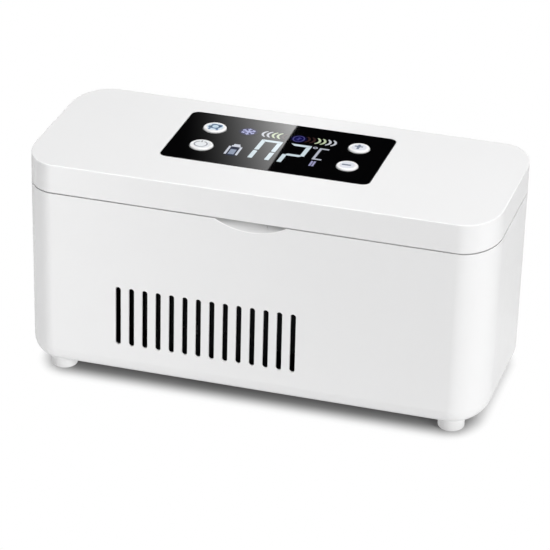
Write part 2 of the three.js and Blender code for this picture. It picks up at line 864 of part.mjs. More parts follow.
function lidShell() {
  const beamTop = lidBase + lidBeamHeight;
  let shell = cut(
    lidBody(),
    plate(wellOutline(wall), 0, beamTop),
    plate(caseOutline(wall), beamTop, lidCeiling),
    plate(lensOutline(lensGap), lensFoot, lidTop + pastCut),
    plate(lensOutline(-lensLedge), 0, lidTop + pastCut),
  );
  const bosses = displayCorners.map(({ x, y }) =>
    post(x, y, displayBoardTop, lidCeiling + bossRoot, bossRadius),
  );
  const bossBores = smallHoles(displayCorners, underside, lidCeiling + bossRoot / 2);
  shell = cut(join(shell, ...bosses), ...bossBores, hingeWedge(1));
  shell = join(shell, ...hingeStretches(earStart, earEnd, barrelRadius));
  return cut(
    shell,
    bar(hingeY, hingeZ, -earStart, earStart, barrelRadius + barrelGap),
    ...pinCutters(),
  );
}

function lidLiner() {
  const panel = plate(wellOutline(wall + setGap), linerFoot, linerTop);
  const plug = plate(mouthOutline(-plugGap), plugFoot, linerTop);
  const hollow = plate(mouthOutline(-plugGap - plugWall), plugFoot + plugWall, lidTop);
  const pockets = [-1, 1].map((side) =>
    catchBlock(side, 0, linerFoot + magnetThickness, setGap),
  );
  return cut(join(panel, plug), hollow, ...pockets);
}

function lidFoam() {
  const lower = plate(mouthOutline(-plugGap - plugWall - setGap), plugFoot + plugWall, linerTop + pastCut);
  const top = displayBoardFoot - smallScrewHeadHeight - setGap;
  return join(lower, plate(wellOutline(wall + foamInset), linerTop, top));
}

function lidGasket() {
  const ring = plate(mouthOutline(gasketOuter), rim + setGap, linerFoot);
  return cut(ring, plate(mouthOutline(gasketInner - plugGap), 0, lidTop));
}

const buttons = [
  { use: "mode", x: buttonLeftX, y: buttonRearY, radius: buttonLeftRadius },
  { use: "power", x: buttonLeftX, y: buttonFrontY, radius: buttonLeftRadius },
  { use: "plus", x: buttonRightX, y: buttonRearY, radius: buttonRightRadius },
  { use: "minus", x: buttonRightX, y: buttonFrontY, radius: buttonRightRadius },
];

function displayLens() {
  const lens = plate(lensOutline(0), lensFoot, lidTop);
  const holes = buttons.map(({ x, y, radius }) =>
    post(x, y, lidBase, lidTop + pastCut, radius + buttonGap, roundFacets),
  );
  return cut(lens, ...holes);
}

// A button cap on the Z axis, from the foot of its stem to its face.
function buttonCap(radius) {
  const flangeFoot = buttonStemLength;
  const flangeTop = flangeFoot + buttonFlangeThickness;
  const face = flangeTop + buttonGap + lensThickness + buttonProud;
  return turned([
    [0, 0],
    [buttonStemRadius, 0],
    [buttonStemRadius, flangeFoot],
    [radius + buttonFlange, flangeFoot],
    [radius + buttonFlange, flangeTop],
    [radius, flangeTop],
    [radius, face - buttonEdge],
    [radius - buttonEdge, face],
    [0, face],
  ], roundFacets);
}

// A push switch on the Z axis: its square body and the plunger that the button's stem presses.
function pushSwitch() {
  const half = switchSide / 2;
  return join(
    block([-half, -half, 0], [half, half, switchHeight]),
    post(0, 0, switchHeight / 2, switchHeight + plungerHeight, plungerRadius, screwFacets),
  );
}

function displayBoard() {
  const halfX = lensLength / 2 - lensLedge + boardReach;
  const halfY = lensDepth / 2 - lensLedge + boardReach;
  const board = block(
    [lensX - halfX, lensY - halfY, displayBoardFoot],
    [lensX + halfX, lensY + halfY, displayBoardTop],
  );
  return cut(board, ...smallHoles(displayCorners, 0, lidTop));
}

// The lit module lies between the two columns of switches.
function digitDisplay() {
  const halfY = lensDepth / 2 - digitModuleEndRoom;
  return block(
    [buttonLeftX + digitModuleSideRoom, lensY - halfY, displayBoardTop],
    [buttonRightX - digitModuleSideRoom, lensY + halfY, lensFoot - setGap],
  );
}

// The case body: all that stays put when the lid opens.
function caseGroup() {
  const group = new THREE.Group();
  group.add(
    piece("housing", housing(), "whiteShell"),
    piece("base_plate", basePlate(), "whiteShell"),
    piece("top_deck", topDeck(), "whiteInner"),
    piece("cooling_chamber", coolingChamber(), "aluminium"),
    piece("insulation_foam", insulationFoam(), "foam"),
  );
  for (const { corner: place, x, y } of caseFeet) {
    const head = footRecessDepth - footScrewHeadHeight;
    const fastener = screw(footScrewHead, footScrewHeadHeight, footScrewShank, footScrewLength);
    group.add(piece(`foot_${place}`, foot(), "paleRubber", [x, y, 0]));
    group.add(piece(`foot_screw_${place}`, fastener, "steel", [x, y, head]));
  }
  for (const [name, side] of [["left", -1], ["right", 1]]) {
    group.add(piece(`catch_plate_${name}`, catchBlock(side, rim - catchThickness, rim, 0), "steel"));
    const start = barrelEnd - pinGrip + setGap;
    const [low, high] = side < 0 ? [-earEnd, -start] : [start, earEnd];
    group.add(piece(`hinge_pin_${name}`, bar(hingeY, hingeZ, low, high, pinRadius), "steel"));
  }
  return group;
}

// The cooling stack: fan, heat sink, Peltier module, cold block and sensor.
function coolingGroup() {
  const group = new THREE.Group();
  group.add(
    piece("cold_block", coldBlock(), "aluminium"),
    piece("peltier_module", peltierModule(), "ceramic"),
    piece("heat_sink", heatSink(), "blackAluminium"),
    piece("fan_frame", fanFrame(), "blackPlastic"),
    piece("fan_rotor", fanRotor(), "blackPlastic", [ventX, wellMidY, baseTop]),
    piece(
      "temperature_sensor",
      post(sensorX, wellMidY, sensorTop - sensorLength, sensorTop, sensorRadius, screwFacets),
      "steel",
    ),
  );
  for (const { end, y } of clampPlaces) {
    const fastener = screw(clampScrewHead, clampScrewHeadHeight, clampScrewShank, clampScrewLength);
    const head = sinkTop - sinkBase - clampScrewHeadHeight;
    group.add(piece(`clamp_screw_${end}`, fastener, "steel", [clampX, y, head]));
  }
  for (const { corner: place, x, y } of fanCorners) {
    const length = baseThickness - headSink + fanScrewReach;
    const fastener = screw(smallScrewHead, smallScrewHeadHeight, smallScrewShank, length);
    const head = underside + headSink - smallScrewHeadHeight;
    group.add(piece(`fan_screw_${place}`, fastener, "steel", [x, y, head]));
  }
  return group;
}

// The battery tray with its two cells, and the main board with the power socket on top of it.
function powerGroup() {
  const group = new THREE.Group();
  group.add(
    piece("battery_tray", batteryTray(), "blackPlastic"),
    piece("main_board", mainBoard(), "circuit"),
    piece("dc_jack", dcJack(), "blackPlastic"),
  );
  for (const [name, side] of [["left", -1], ["right", 1]]) {
    const place = [trayMidX + side * cellSpace, 0, cellFoot + cellRadius];
    group.add(piece(`battery_cell_${name}`, batteryCell(), "cellWrap", place));
  }
  for (const { corner: place, x, y } of trayPosts) {
    const length = boardThickness + cellRadius;
    const fastener = screw(smallScrewHead, smallScrewHeadHeight, smallScrewShank, length);
    const head = mainBoardTop + smallScrewHeadHeight;
    const mesh = piece(`board_screw_${place}`, fastener, "steel", [x, y, head]);
    mesh.rotation.x = Math.PI;
    group.add(mesh);
  }
  return group;
}

// The lid with its liner, seal and insulation, and the display with its buttons.
function lidGroup() {
  const group = new THREE.Group();
  group.add(
    piece("lid_shell", lidShell(), "whiteShell"),
    piece("lid_liner", lidLiner(), "whiteInner"),
    piece("lid_foam", lidFoam(), "foam"),
    piece("lid_gasket", lidGasket(), "seal"),
    piece("display_lens", displayLens(), "blackGloss"),
    piece("display_board", displayBoard(), "circuit"),
    piece("digit_display", digitDisplay(), "blackPlastic"),
  );
  for (const [name, side] of [["left", -1], ["right", 1]]) {
    const magnet = catchBlock(side, linerFoot, linerFoot + magnetThickness, 0);
    group.add(piece(`magnet_${name}`, magnet, "steel"));
  }
  for (const { corner: place, x, y } of displayCorners) {
    const length = boardThickness + lidCeiling - displayBoardTop;
    const fastener = screw(smallScrewHead, smallScrewHeadHeight, smallScrewShank, length);
    const head = displayBoardFoot - smallScrewHeadHeight;
    group.add(piece(`display_screw_${place}`, fastener, "steel", [x, y, head]));
  }
  for (const { use, x, y, radius } of buttons) {
    group.add(piece(`button_${use}`, buttonCap(radius), "whiteShell", [x, y, stemFoot]));
    group.add(piece(`switch_${use}`, pushSwitch(), "blackPlastic", [x, y, displayBoardTop]));
  }
  return group;
}

const coolingCase = new THREE.Group();
coolingCase.add(caseGroup(), coolingGroup(), powerGroup(), lidGroup());

export default coolingCase;
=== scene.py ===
import json
import math

import bmesh
import bpy
from mathutils import Matrix, Vector


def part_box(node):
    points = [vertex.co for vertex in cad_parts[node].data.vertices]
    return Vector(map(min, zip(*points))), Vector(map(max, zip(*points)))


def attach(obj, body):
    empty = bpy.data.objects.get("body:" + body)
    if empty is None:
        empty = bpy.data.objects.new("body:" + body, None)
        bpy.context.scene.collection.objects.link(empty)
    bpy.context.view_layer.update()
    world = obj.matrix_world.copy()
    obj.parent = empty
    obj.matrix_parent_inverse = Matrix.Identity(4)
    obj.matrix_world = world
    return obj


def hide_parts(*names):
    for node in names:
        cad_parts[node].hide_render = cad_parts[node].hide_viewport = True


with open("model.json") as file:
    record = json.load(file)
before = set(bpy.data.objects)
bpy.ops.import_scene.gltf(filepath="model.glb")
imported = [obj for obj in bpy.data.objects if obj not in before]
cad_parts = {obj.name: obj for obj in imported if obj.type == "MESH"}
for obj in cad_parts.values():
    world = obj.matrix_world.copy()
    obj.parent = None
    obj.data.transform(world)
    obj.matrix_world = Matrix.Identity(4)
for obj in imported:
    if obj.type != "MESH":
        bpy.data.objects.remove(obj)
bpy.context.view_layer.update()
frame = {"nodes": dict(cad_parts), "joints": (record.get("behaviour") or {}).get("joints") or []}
print("frame loaded,", len(frame["nodes"]), "nodes")

mm = 0.001
hair = 0.01 * mm  # two places closer than this count as one


def middleOf(name):
    low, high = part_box(name)
    return (low + high) / 2


def nodesNamed(start):
    return [name for name in frame["nodes"] if name.startswith(start)]


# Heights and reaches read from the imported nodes, in metres
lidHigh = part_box("lid_shell")[1]
deckLow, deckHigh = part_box("top_deck")
baseLow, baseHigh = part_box("base_plate")
trayLow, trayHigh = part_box("cooling_chamber")
linerLow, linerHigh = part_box("lid_liner")
lensLow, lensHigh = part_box("display_lens")
halfLength, halfDepth = lidHigh.x, lidHigh.y
underside, baseTop = baseLow.z, baseHigh.z
ledgeTop, rim = deckLow.z, deckHigh.z
lidTop = lidHigh.z
hinge = next(Vector(joint["pos_m"]) for joint in frame["joints"] if joint["name"] == "lid_hinge")
lidBase = 2 * hinge.z - rim


# Camera, as fitted to the edges, the seam and the slots
cameraFit = {
    "place": (0.35325, -1.24763, 0.69129),
    "yaw": -0.27679,
    "pitch": 0.46188,
    "roll": 0.02704,
    "focalPixels": 3119.1,
    "framePixels": 550,
    "sensor": 36,
}


def makeCamera(fit):
    yaw, pitch = fit["yaw"], fit["pitch"]
    ahead = Vector((math.sin(yaw) * math.cos(pitch), math.cos(yaw) * math.cos(pitch), -math.sin(pitch)))
    right = Vector((math.cos(yaw), -math.sin(yaw), 0))
    turn = Matrix((right, right.cross(ahead), -ahead)).transposed().to_4x4()
    data = bpy.data.cameras.new("photoCamera")
    data.sensor_width = fit["sensor"]
    data.lens = fit["focalPixels"] / fit["framePixels"] * fit["sensor"]
    camera = bpy.data.objects.new("photoCamera", data)
    bpy.context.scene.collection.objects.link(camera)
    camera.matrix_world = Matrix.Translation(fit["place"]) @ turn @ Matrix.Rotation(fit["roll"], 4, "Z")
    bpy.context.scene.camera = camera


makeCamera(cameraFit)
print("camera placed")


# Small helpers for working in object and edit mode

def deselectAll():
    if bpy.context.object and bpy.context.object.mode != "OBJECT":
        bpy.ops.object.mode_set(mode="OBJECT")
    bpy.ops.object.select_all(action="DESELECT")


def makeActive(piece):
    deselectAll()
    piece.select_set(True)
    bpy.context.view_layer.objects.active = piece


def settle(piece):
    # the place, turn and size go into the mesh
    makeActive(piece)
    bpy.ops.object.transform_apply(location=True, rotation=True, scale=True)
    return piece


def pick(piece, test, kind="EDGE"):
    # edit mode, with only what passes the test selected
    makeActive(piece)
    bpy.ops.object.mode_set(mode="EDIT")
    bpy.ops.mesh.select_mode(type=kind)
    bpy.ops.mesh.select_all(action="DESELECT")
    mesh = bmesh.from_edit_mesh(piece.data)
    parts = {"VERT": mesh.verts, "EDGE": mesh.edges, "FACE": mesh.faces}[kind]
    for part in parts:
        if test(part):
            part.select_set(True)
    mesh.select_flush_mode()
    bmesh.update_edit_mesh(piece.data)


def leaveEdit():
    bpy.ops.object.mode_set(mode="OBJECT")


def cornersOf(edge):
    return edge.verts[0].co, edge.verts[1].co


def upright(edge):
    one, other = cornersOf(edge)
    return abs(one.x - other.x) < hair and abs(one.y - other.y) < hair


def levelAt(z):
    # for an edge or a face that lies at a height
    return lambda part: all(abs(vertex.co.z - z) < hair for vertex in part.verts)


def isSharp(edge, degrees):
    return edge.calc_face_angle(0) > math.radians(degrees)


def bevelEdges(piece, test, width, steps):
    pick(piece, test, "EDGE")
    bpy.ops.mesh.bevel(offset=width, segments=steps, profile=0.5, affect="EDGES", clamp_overlap=False)
    leaveEdit()


def softenRim(piece, z, width, steps, degrees=60, test=lambda edge: True):
    # the sharp edges at a height, or those of them that pass a test
    bevelEdges(piece, lambda edge: isSharp(edge, degrees) and levelAt(z)(edge) and test(edge), width, steps)


def extrude(rise):
    bpy.ops.mesh.extrude_region_move(TRANSFORM_OT_translate={"value": (0, 0, rise)})


def drawOut(piece, z, inset, rise):
    # the middle of the face at a height moves up or down
    pick(piece, levelAt(z), "FACE")
    bpy.ops.mesh.inset(thickness=inset)
    extrude(rise)
    leaveEdit()


def block(name, low, high):
    low, high = Vector(low), Vector(high)
    deselectAll()
    bpy.ops.mesh.primitive_cube_add(size=1, location=(low + high) / 2, scale=high - low)
    piece = bpy.context.object
    piece.name = piece.data.name = name
    return settle(piece)


def rod(name, start, end, radius, steps=48):
    start, end = Vector(start), Vector(end)
    along = end - start
    deselectAll()
    bpy.ops.mesh.primitive_cylinder_add(
        vertices=steps,
        radius=radius,
        depth=along.length,
        location=(start + end) / 2,
        rotation=along.to_track_quat("Z", "Y").to_euler(),
    )
    piece = bpy.context.object
    piece.name = piece.data.name = name
    return settle(piece)


def post(name, spot, foot, top, radius, steps=24):
    return rod(name, (spot.x, spot.y, foot), (spot.x, spot.y, top), radius, steps)


def roundedBlock(name, low, high, along, across, steps):
    # upright corners bevelled round, then stretched across to quarter ellipses
    low, high = Vector(low), Vector(high)
    mid, half = (low + high) / 2, (high - low) / 2
    stretch = across / along
    half.y /= stretch
    piece = block(name, mid - half, mid + half)
    bevelEdges(piece, upright, min(along, half.x, half.y) - hair, steps)
    pick(piece, lambda vertex: True, "VERT")
    bpy.ops.transform.resize(value=(1, stretch, 1), center_override=mid)
    leaveEdit()
    return piece


def marginBlock(name, middle, half, margin, foot, top, corner, steps=10):
    # a block about a middle, wider than its half size by a margin to every side
    low = (middle.x - half.x - margin, middle.y - half.y - margin, foot)
    high = (middle.x + half.x + margin, middle.y + half.y + margin, top)
    return roundedBlock(name, low, high, corner, corner, steps)


def change(piece, other, operation="DIFFERENCE"):
    makeActive(piece)
    bpy.ops.object.modifier_add(type="BOOLEAN")
    step = piece.modifiers[-1]
    step.operation = operation
    step.solver = "EXACT"
    step.object = other
    bpy.ops.object.modifier_apply(modifier=step.name)
    bpy.data.objects.remove(other)


def cutAway(piece, *cutters):
    for cutter in cutters:
        change(piece, cutter)


def weld(piece, *others):
    for other in others:
        change(piece, other, "UNION")


def sliceOff(piece, z, keepAbove):
    pick(piece, lambda vertex: True, "VERT")
    bpy.ops.mesh.bisect(
        plane_co=(0, 0, z),
        plane_no=(0, 0, 1),
        use_fill=True,
        clear_inner=keepAbove,
        clear_outer=not keepAbove,
    )
    leaveEdit()


def joined(pieces):
    deselectAll()
    for piece in pieces:
        piece.select_set(True)
    bpy.context.view_layer.objects.active = pieces[0]
    if len(pieces) > 1:
        bpy.ops.object.join()
    return pieces[0]


def copyAt(piece, name, shift):
    copy = piece.copy()
    copy.data = piece.data.copy()
    copy.name = copy.data.name = name
    bpy.context.scene.collection.objects.link(copy)
    copy.data.transform(Matrix.Translation(shift))
    return copy


def smooth(piece, degrees):
    # soft shading between nearly level faces, led by the large ones
    makeActive(piece)
    bpy.ops.object.shade_smooth_by_angle(angle=math.radians(degrees))
    bpy.ops.object.modifier_add(type="WEIGHTED_NORMAL")
    piece.modifiers[-1].keep_sharp = True
    bpy.ops.object.modifier_apply(modifier=piece.modifiers[-1].name)


def finishPiece(piece, finish, slotName, body, *nodes, degrees=35):
    smooth(piece, degrees)
    piece.data.materials.clear()
    piece.data.materials.append(finish)
    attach(piece, body)
    if nodes:
        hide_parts(*nodes)
    return piece


def faceFinish(piece, finish, test):
    # a second finish on the faces that pass the test
    piece.data.materials.append(finish)
    pick(piece, test, "FACE")
    piece.active_material_index = 1
    bpy.ops.object.material_slot_assign()
    leaveEdit()


# Finishes
driftSize = 40 * mm
lineStretch = 0.02
markLight = {"patch": 3 * mm, "dim": 0.93}
paneForm = {"tone": (0.0013, 0.0013, 0.0015), "gloss": (0.008, 0.02), "smear": 6 * mm, "ior": 1.49}
foamForm = {
    "tone": (0.86, 0.84, 0.78),
    "cellTone": (0.74, 0.72, 0.66),
    "cellSize": 0.7 * mm,
    "cellDepth": 0.12 * mm,
    "roughness": 0.95,
}
boardForm = {
    "mask": (0.02, 0.13, 0.06),
    "darkMask": (0.016, 0.104, 0.048),
    "track": (0.05, 0.2, 0.09),
    "pitch": 4 * mm,
    "trackShare": 0.03,
    "trackDepth": 0.03 * mm,
    "grain": 0.6 * mm,
    "gloss": (0.3, 0.45),
}


def feed(tree, node, inputs):
    # values and links for a node's sockets, by name or number
    for name, value in inputs.items():
        if isinstance(value, bpy.types.NodeSocket):
            tree.links.new(value, node.inputs[name])
        else:
            node.inputs[name].default_value = value


def addNode(tree, kind, inputs={}, **settings):
    node = tree.nodes.new(f"ShaderNode{kind}")
    for name, value in settings.items():
        setattr(node, name, value)
    feed(tree, node, inputs)
    return node


def objectPlace(tree):
    return addNode(tree, "TexCoord").outputs["Object"]


def mathNode(tree, operation, one, other=0.0):
    return addNode(tree, "Math", {0: one, 1: other}, operation=operation).outputs[0]


def span(tree, source, start, end, low=0, high=1, bend="LINEAR"):
    limits = {"Value": source, "From Min": start, "From Max": end, "To Min": low, "To Max": high}
    return addNode(tree, "MapRange", limits, interpolation_type=bend).outputs["Result"]


def spread(tree, noise, low, high):
    # a noise keeps mostly between 0.3 and 0.7, and is drawn out from there
    return span(tree, noise, 0.3, 0.7, low, high)


def grainOf(tree, size, detail=3, stretch=(1, 1, 1)):
    # a noise whose features are about one size across, on the object's own coordinates
    place = addNode(tree, "Mapping", {"Vector": objectPlace(tree), "Scale": stretch}).outputs["Vector"]
    return addNode(tree, "TexNoise", {"Vector": place, "Scale": 1 / size, "Detail": detail}).outputs["Fac"]


def mixTones(tree, source, one, other):
    # the colour sockets of this node share their names with others, so they go by number
    tones = [tone if isinstance(tone, bpy.types.NodeSocket) else (*tone, 1) for tone in (one, other)]
    return addNode(tree, "Mix", {"Factor": source, 6: tones[0], 7: tones[1]}, data_type="RGBA").outputs[2]


def driftTones(tree, noise, one, other):
    return mixTones(tree, spread(tree, noise, 0, 1), one, other)


def greyRamp(tree, source, stops):
    ramp = addNode(tree, "ValToRGB", {"Fac": source})
    while len(ramp.color_ramp.elements) < len(stops):
        ramp.color_ramp.elements.new(0.5)
    for element, (share, level) in zip(ramp.color_ramp.elements, stops):
        element.position = share
        element.color = (level, level, level, 1)
    return ramp.outputs["Color"]


def emboss(tree, shader, height, depth):
    bump = addNode(tree, "Bump", {"Height": height, "Distance": depth, "Strength": 1})
    feed(tree, shader, {"Normal": bump.outputs["Normal"]})


def newFinish(name):
    material = bpy.data.materials.new(name)
    material.use_nodes = True
    return material, material.node_tree, material.node_tree.nodes["Principled BSDF"]


def mouldedPlastic(name, tone, darker, gloss, grainSize, grainDepth=0, more={}):
    # a moulded part: faint drift of tone, uneven sheen and, on the duller ones, the grain of the tool
    material, tree, shader = newFinish(name)
    tones = driftTones(tree, grainOf(tree, driftSize), darker, tone)
    grain = grainOf(tree, grainSize, 2)
    feed(tree, shader, {"Base Color": tones, "Roughness": spread(tree, grain, *gloss), **more})
    if grainDepth:
        emboss(tree, shader, grain, grainDepth)
    return material


def brushedMetal(name, tone, darker, gloss, along, lineWidth, lineDepth):
    # fine lines drawn out along one axis
    material, tree, shader = newFinish(name)
    lines = grainOf(tree, lineWidth, 4, [lineStretch if axis == along else 1 for axis in "xyz"])
    tones = driftTones(tree, lines, darker, tone)
    feed(tree, shader, {"Metallic": 1, "Base Color": tones, "Roughness": spread(tree, lines, *gloss)})
    emboss(tree, shader, lines, lineDepth)
    return material


def foamFinish(name, form):
    # closed cells, each a shallow dimple
    material, tree, shader = newFinish(name)
    layout = {"Vector": objectPlace(tree), "Scale": 1 / form["cellSize"]}
    cells = addNode(tree, "TexVoronoi", layout).outputs["Distance"]
    tones = driftTones(tree, cells, form["tone"], form["cellTone"])
    feed(tree, shader, {"Base Color": tones, "Roughness": form["roughness"]})
    emboss(tree, shader, cells, form["cellDepth"])
    return material


def boardFinish(name, form):
    # solder mask over a net of copper tracks
    material, tree, shader = newFinish(name)
    tones = {"Color1": (*form["mask"], 1), "Color2": (*form["darkMask"], 1), "Mortar": (*form["track"], 1)}
    layout = {"Vector": objectPlace(tree), "Scale": 1 / form["pitch"], "Mortar Size": form["trackShare"]}
    tracks = addNode(tree, "TexBrick", {**layout, **tones}).outputs
    gloss = spread(tree, grainOf(tree, form["grain"]), *form["gloss"])
    feed(tree, shader, {"Base Color": tracks["Color"], "Roughness": gloss})
    emboss(tree, shader, tracks["Fac"], form["trackDepth"])
    return material


def paneFinish(name):
    # polished black acrylic with a trace of wiping in its gloss
    material, tree, shader = newFinish(name)
    smear = grainOf(tree, paneForm["smear"], 5, (1, 0.3, 1))
    tones = driftTones(tree, smear, paneForm["tone"], [part * 1.3 for part in paneForm["tone"]])
    rough = spread(tree, smear, *paneForm["gloss"])
    feed(tree, shader, {"IOR": paneForm["ior"], "Base Color": tones, "Roughness": rough})
    return material


def underPane(name, gloss=paneForm["gloss"]):
    # as black and as polished as the pane, for light that comes from behind it
    material, tree, shader = newFinish(name)
    rough = spread(tree, grainOf(tree, paneForm["smear"], 5), *gloss)
    feed(tree, shader, {"IOR": paneForm["ior"], "Base Color": (*paneForm["tone"], 1), "Roughness": rough})
    return material, tree, shader


def litFinish(name, tone, more={}, gloss=paneForm["gloss"]):
    # a mark lit from behind, a little uneven from one diode to the next
    material, tree, shader = underPane(name, gloss)
    shade = driftTones(tree, grainOf(tree, markLight["patch"], 1), [part * markLight["dim"] for part in tone], tone)
    feed(tree, shader, {"Emission Color": shade, "Emission Strength": 1, **more})
    return material


def haloFinish(name, tone, middle, reach):
    # stray light round a mark, brightest at its middle and gone at its reach
    material, tree, shader = underPane(name)
    away = addNode(tree, "VectorMath", {0: objectPlace(tree), 1: middle}, operation="DISTANCE").outputs["Value"]
    fall = span(tree, away, reach / 3, reach, 1, 0, "SMOOTHSTEP")
    feed(tree, shader, {"Emission Color": (*tone, 1), "Emission Strength": fall})
    return material


dry = {"Specular IOR Level": 0.2}  # throws back little light
translucent = {"Subsurface Weight": 0.7, "Subsurface Radius": (1, 1, 1), "Subsurface Scale": 1.2 * mm}
plastics = {
    "shell": ("shellWhite", (0.87, 0.87, 0.872), (0.866, 0.866, 0.868), (0.255, 0.27), 4 * mm),
    "inner": ("innerWhite", (0.82, 0.825, 0.83), (0.81, 0.815, 0.82), (0.42, 0.55), 0.35 * mm, 0.006 * mm),
    "cap": ("capWhite", (0.92, 0.925, 0.93), (0.91, 0.915, 0.92), (0.16, 0.2), 2 * mm, 0, translucent),
    "rubber": ("footRubber", (0.8, 0.8, 0.8), (0.77, 0.77, 0.77), (0.6, 0.75), 0.25 * mm, 0.01 * mm),
    "seal": ("sealRubber", (0.3, 0.31, 0.33), (0.27, 0.28, 0.3), (0.55, 0.7), 0.25 * mm, 0.01 * mm),
    "black": ("blackMoulding", (0.012, 0.012, 0.014), (0.008, 0.008, 0.01), (0.6, 0.75), 0.3 * mm, 0.01 * mm, dry),
    "fins": ("blackAnodised", (0.01, 0.01, 0.012), (0.007, 0.007, 0.009), (0.65, 0.8), 0.3 * mm, 0.006 * mm, dry),
    "ceramic": ("alumina", (0.88, 0.88, 0.86), (0.83, 0.83, 0.81), (0.35, 0.5), 0.2 * mm, 0.004 * mm),
    "wrap": ("cellWrap", (0.05, 0.16, 0.5), (0.04, 0.13, 0.43), (0.28, 0.36), 0.6 * mm, 0.01 * mm),
}
metals = {
    "tray": ("trayAluminium", (0.62, 0.63, 0.65), (0.5, 0.51, 0.53), (0.42, 0.54), "x", 0.25 * mm, 0.004 * mm),
    "sink": ("sinkAluminium", (0.62, 0.63, 0.65), (0.5, 0.51, 0.53), (0.35, 0.5), "y", 0.3 * mm, 0.006 * mm),
    "steel": ("plateSteel", (0.66, 0.67, 0.69), (0.56, 0.57, 0.59), (0.28, 0.36), "x", 0.15 * mm, 0.003 * mm),
    "zinc": ("screwZinc", (0.6, 0.61, 0.63), (0.5, 0.51, 0.53), (0.28, 0.4), "z", 0.2 * mm, 0.003 * mm),
}
finishes = {
    "foam": foamFinish("closedFoam", foamForm),
    "board": boardFinish("solderMask", boardForm),
    "pane": paneFinish("blackPane"),
}
finishes.update({name: mouldedPlastic(*facts) for name, facts in plastics.items()})
finishes.update({name: brushedMetal(*facts) for name, facts in metals.items()})
print("finishes ready")


# Case body: the white shell with its vent slots and thumb scoop, and the base plate under it
caseForm = {
    "wall": 3 * mm,
    "cornerAlong": 16 * mm,
    "cornerAcross": 23 * mm,
    "cornerSteps": 24,
    "bottomRound": 8.5 * mm,
    "roundSteps": 12,
    "draft": 0.008,
    "splitRise": 1.3 * mm,
    "splitGap": 0.3 * mm,
    "openingLip": 1 * mm,
    "beamDepth": 8 * mm,
    "beamHeight": 9.2 * mm,
    "ledgeReach": 2.5 * mm,
    "ledgeThickness": 2.5 * mm,
    "postRadius": 4 * mm,
    "postHeight": 20 * mm,
    "ribThickness": 2.5 * mm,
    "screwBore": 1.7 * mm,
    "jackHole": 4.2 * mm,
    "baseStep": 5.9 * mm,
    "edgeRound": 0.15 * mm,
    "fineRound": 0.2 * mm,
    "baseRound": 0.25 * mm,
    "past": 1 * mm,
}
vents = {
    "count": 14,
    "pitch": 6.4 * mm,
    "width": 2.65 * mm,
    "length": 29.6 * mm,
    "foot": 21.5 * mm,
    "endSteps": 8,
    "rimRound": 0.12 * mm,
    "belowRim": 10 * mm,
    "x": -20.7 * mm,
    "wall": 1.2 * mm,
    "margin": 2 * mm,
}
scoop = {
    "width": 34.7 * mm,
    "drop": 4.7 * mm,
    "depth": 2.4 * mm,
    "backHeight": 0.9 * mm,
    "lip": 0.1 * mm,
    "steps": 320,
    "shades": [(0.12, 0.4), (0.32, 0.6), (0.55, 0.76), (1.0, 0.84)],  # painted shade: tone by the share of the drop below the rim, darkest close under the lid
    # painted highlight: the width and tone of a lighter line along the lower rim of the scoop
    "rimLine": 0.45 * mm,
    "rimTone": (0.97, 0.97, 0.97),
}
hingeForm = {
    "barrel": 2.7 * mm,
    "clearance": 0.4 * mm,
    "barrelEnd": 52 * mm,
    "gap": 0.3 * mm,
    "ear": 13.7 * mm,
    "pinBore": 1.1 * mm,
    "pinGrip": 8 * mm,
    "stopTurn": math.radians(49),
    "edgeReach": 4 * mm,
}
wall = caseForm["wall"]
past = caseForm["past"]
beamFront = halfDepth - caseForm["beamDepth"]
beamFoot = rim - caseForm["beamHeight"]
splitPlane = underside + caseForm["splitRise"]
footPlaces = {name: middleOf(name) for name in nodesNamed("foot_") if "screw" not in name}
earStart = hingeForm["barrelEnd"] + hingeForm["gap"]
earEnd = earStart + hingeForm["ear"]


def narrowing(z):
    return caseForm["draft"] * (rim - z)


def caseBlock(name, inset, top):
    # the body up to a height, drawn in by an inset, with its draft and its rounded lower edge
    foot = underside + inset
    reach = Vector((halfLength - inset, halfDepth - inset, top))
    low = Vector((-reach.x, -reach.y, foot))
    along, across = caseForm["cornerAlong"] - inset, caseForm["cornerAcross"] - inset
    piece = roundedBlock(name, low, reach, along, across, caseForm["cornerSteps"])
    for z in (foot, top):
        scale = (1 - narrowing(z) / reach.x, 1 - narrowing(z) / reach.y, 1)
        pick(piece, lambda vertex: abs(vertex.co.z - z) < hair, "VERT")
        bpy.ops.transform.resize(value=scale, center_override=(0, 0, z))
        leaveEdit()
    bevelEdges(piece, levelAt(foot), caseForm["bottomRound"] - inset, caseForm["roundSteps"])
    return piece


def wellBlock(name, inset, foot, top):
    # the room in front of the hinge beam, drawn in by an inset counted from the outer faces
    low = (inset - halfLength, inset - halfDepth, foot)
    high = (halfLength - inset, beamFront + wall - inset, top)
    along, across = caseForm["cornerAlong"] - inset, caseForm["cornerAcross"] - inset
    return roundedBlock(name, low, high, along, across, caseForm["cornerSteps"])


def ventCutters():
    half = vents["width"] / 2
    low = (vents["x"] - half, -halfDepth - past, vents["foot"])
    high = (vents["x"] + half, halfDepth + past, vents["foot"] + vents["length"])
    slot = block("slot", low, high)
    lengthwise = lambda edge: abs(cornersOf(edge)[0].y - cornersOf(edge)[1].y) > past
    bevelEdges(slot, lengthwise, half - hair, vents["endSteps"])
    middle = (vents["count"] - 1) / 2
    shifts = [Vector(((i - middle) * vents["pitch"], 0, 0)) for i in range(vents["count"])]
    slots = joined([copyAt(slot, f"slot{i}", shift) for i, shift in enumerate(shifts)])
    bpy.data.objects.remove(slot)
    return slots


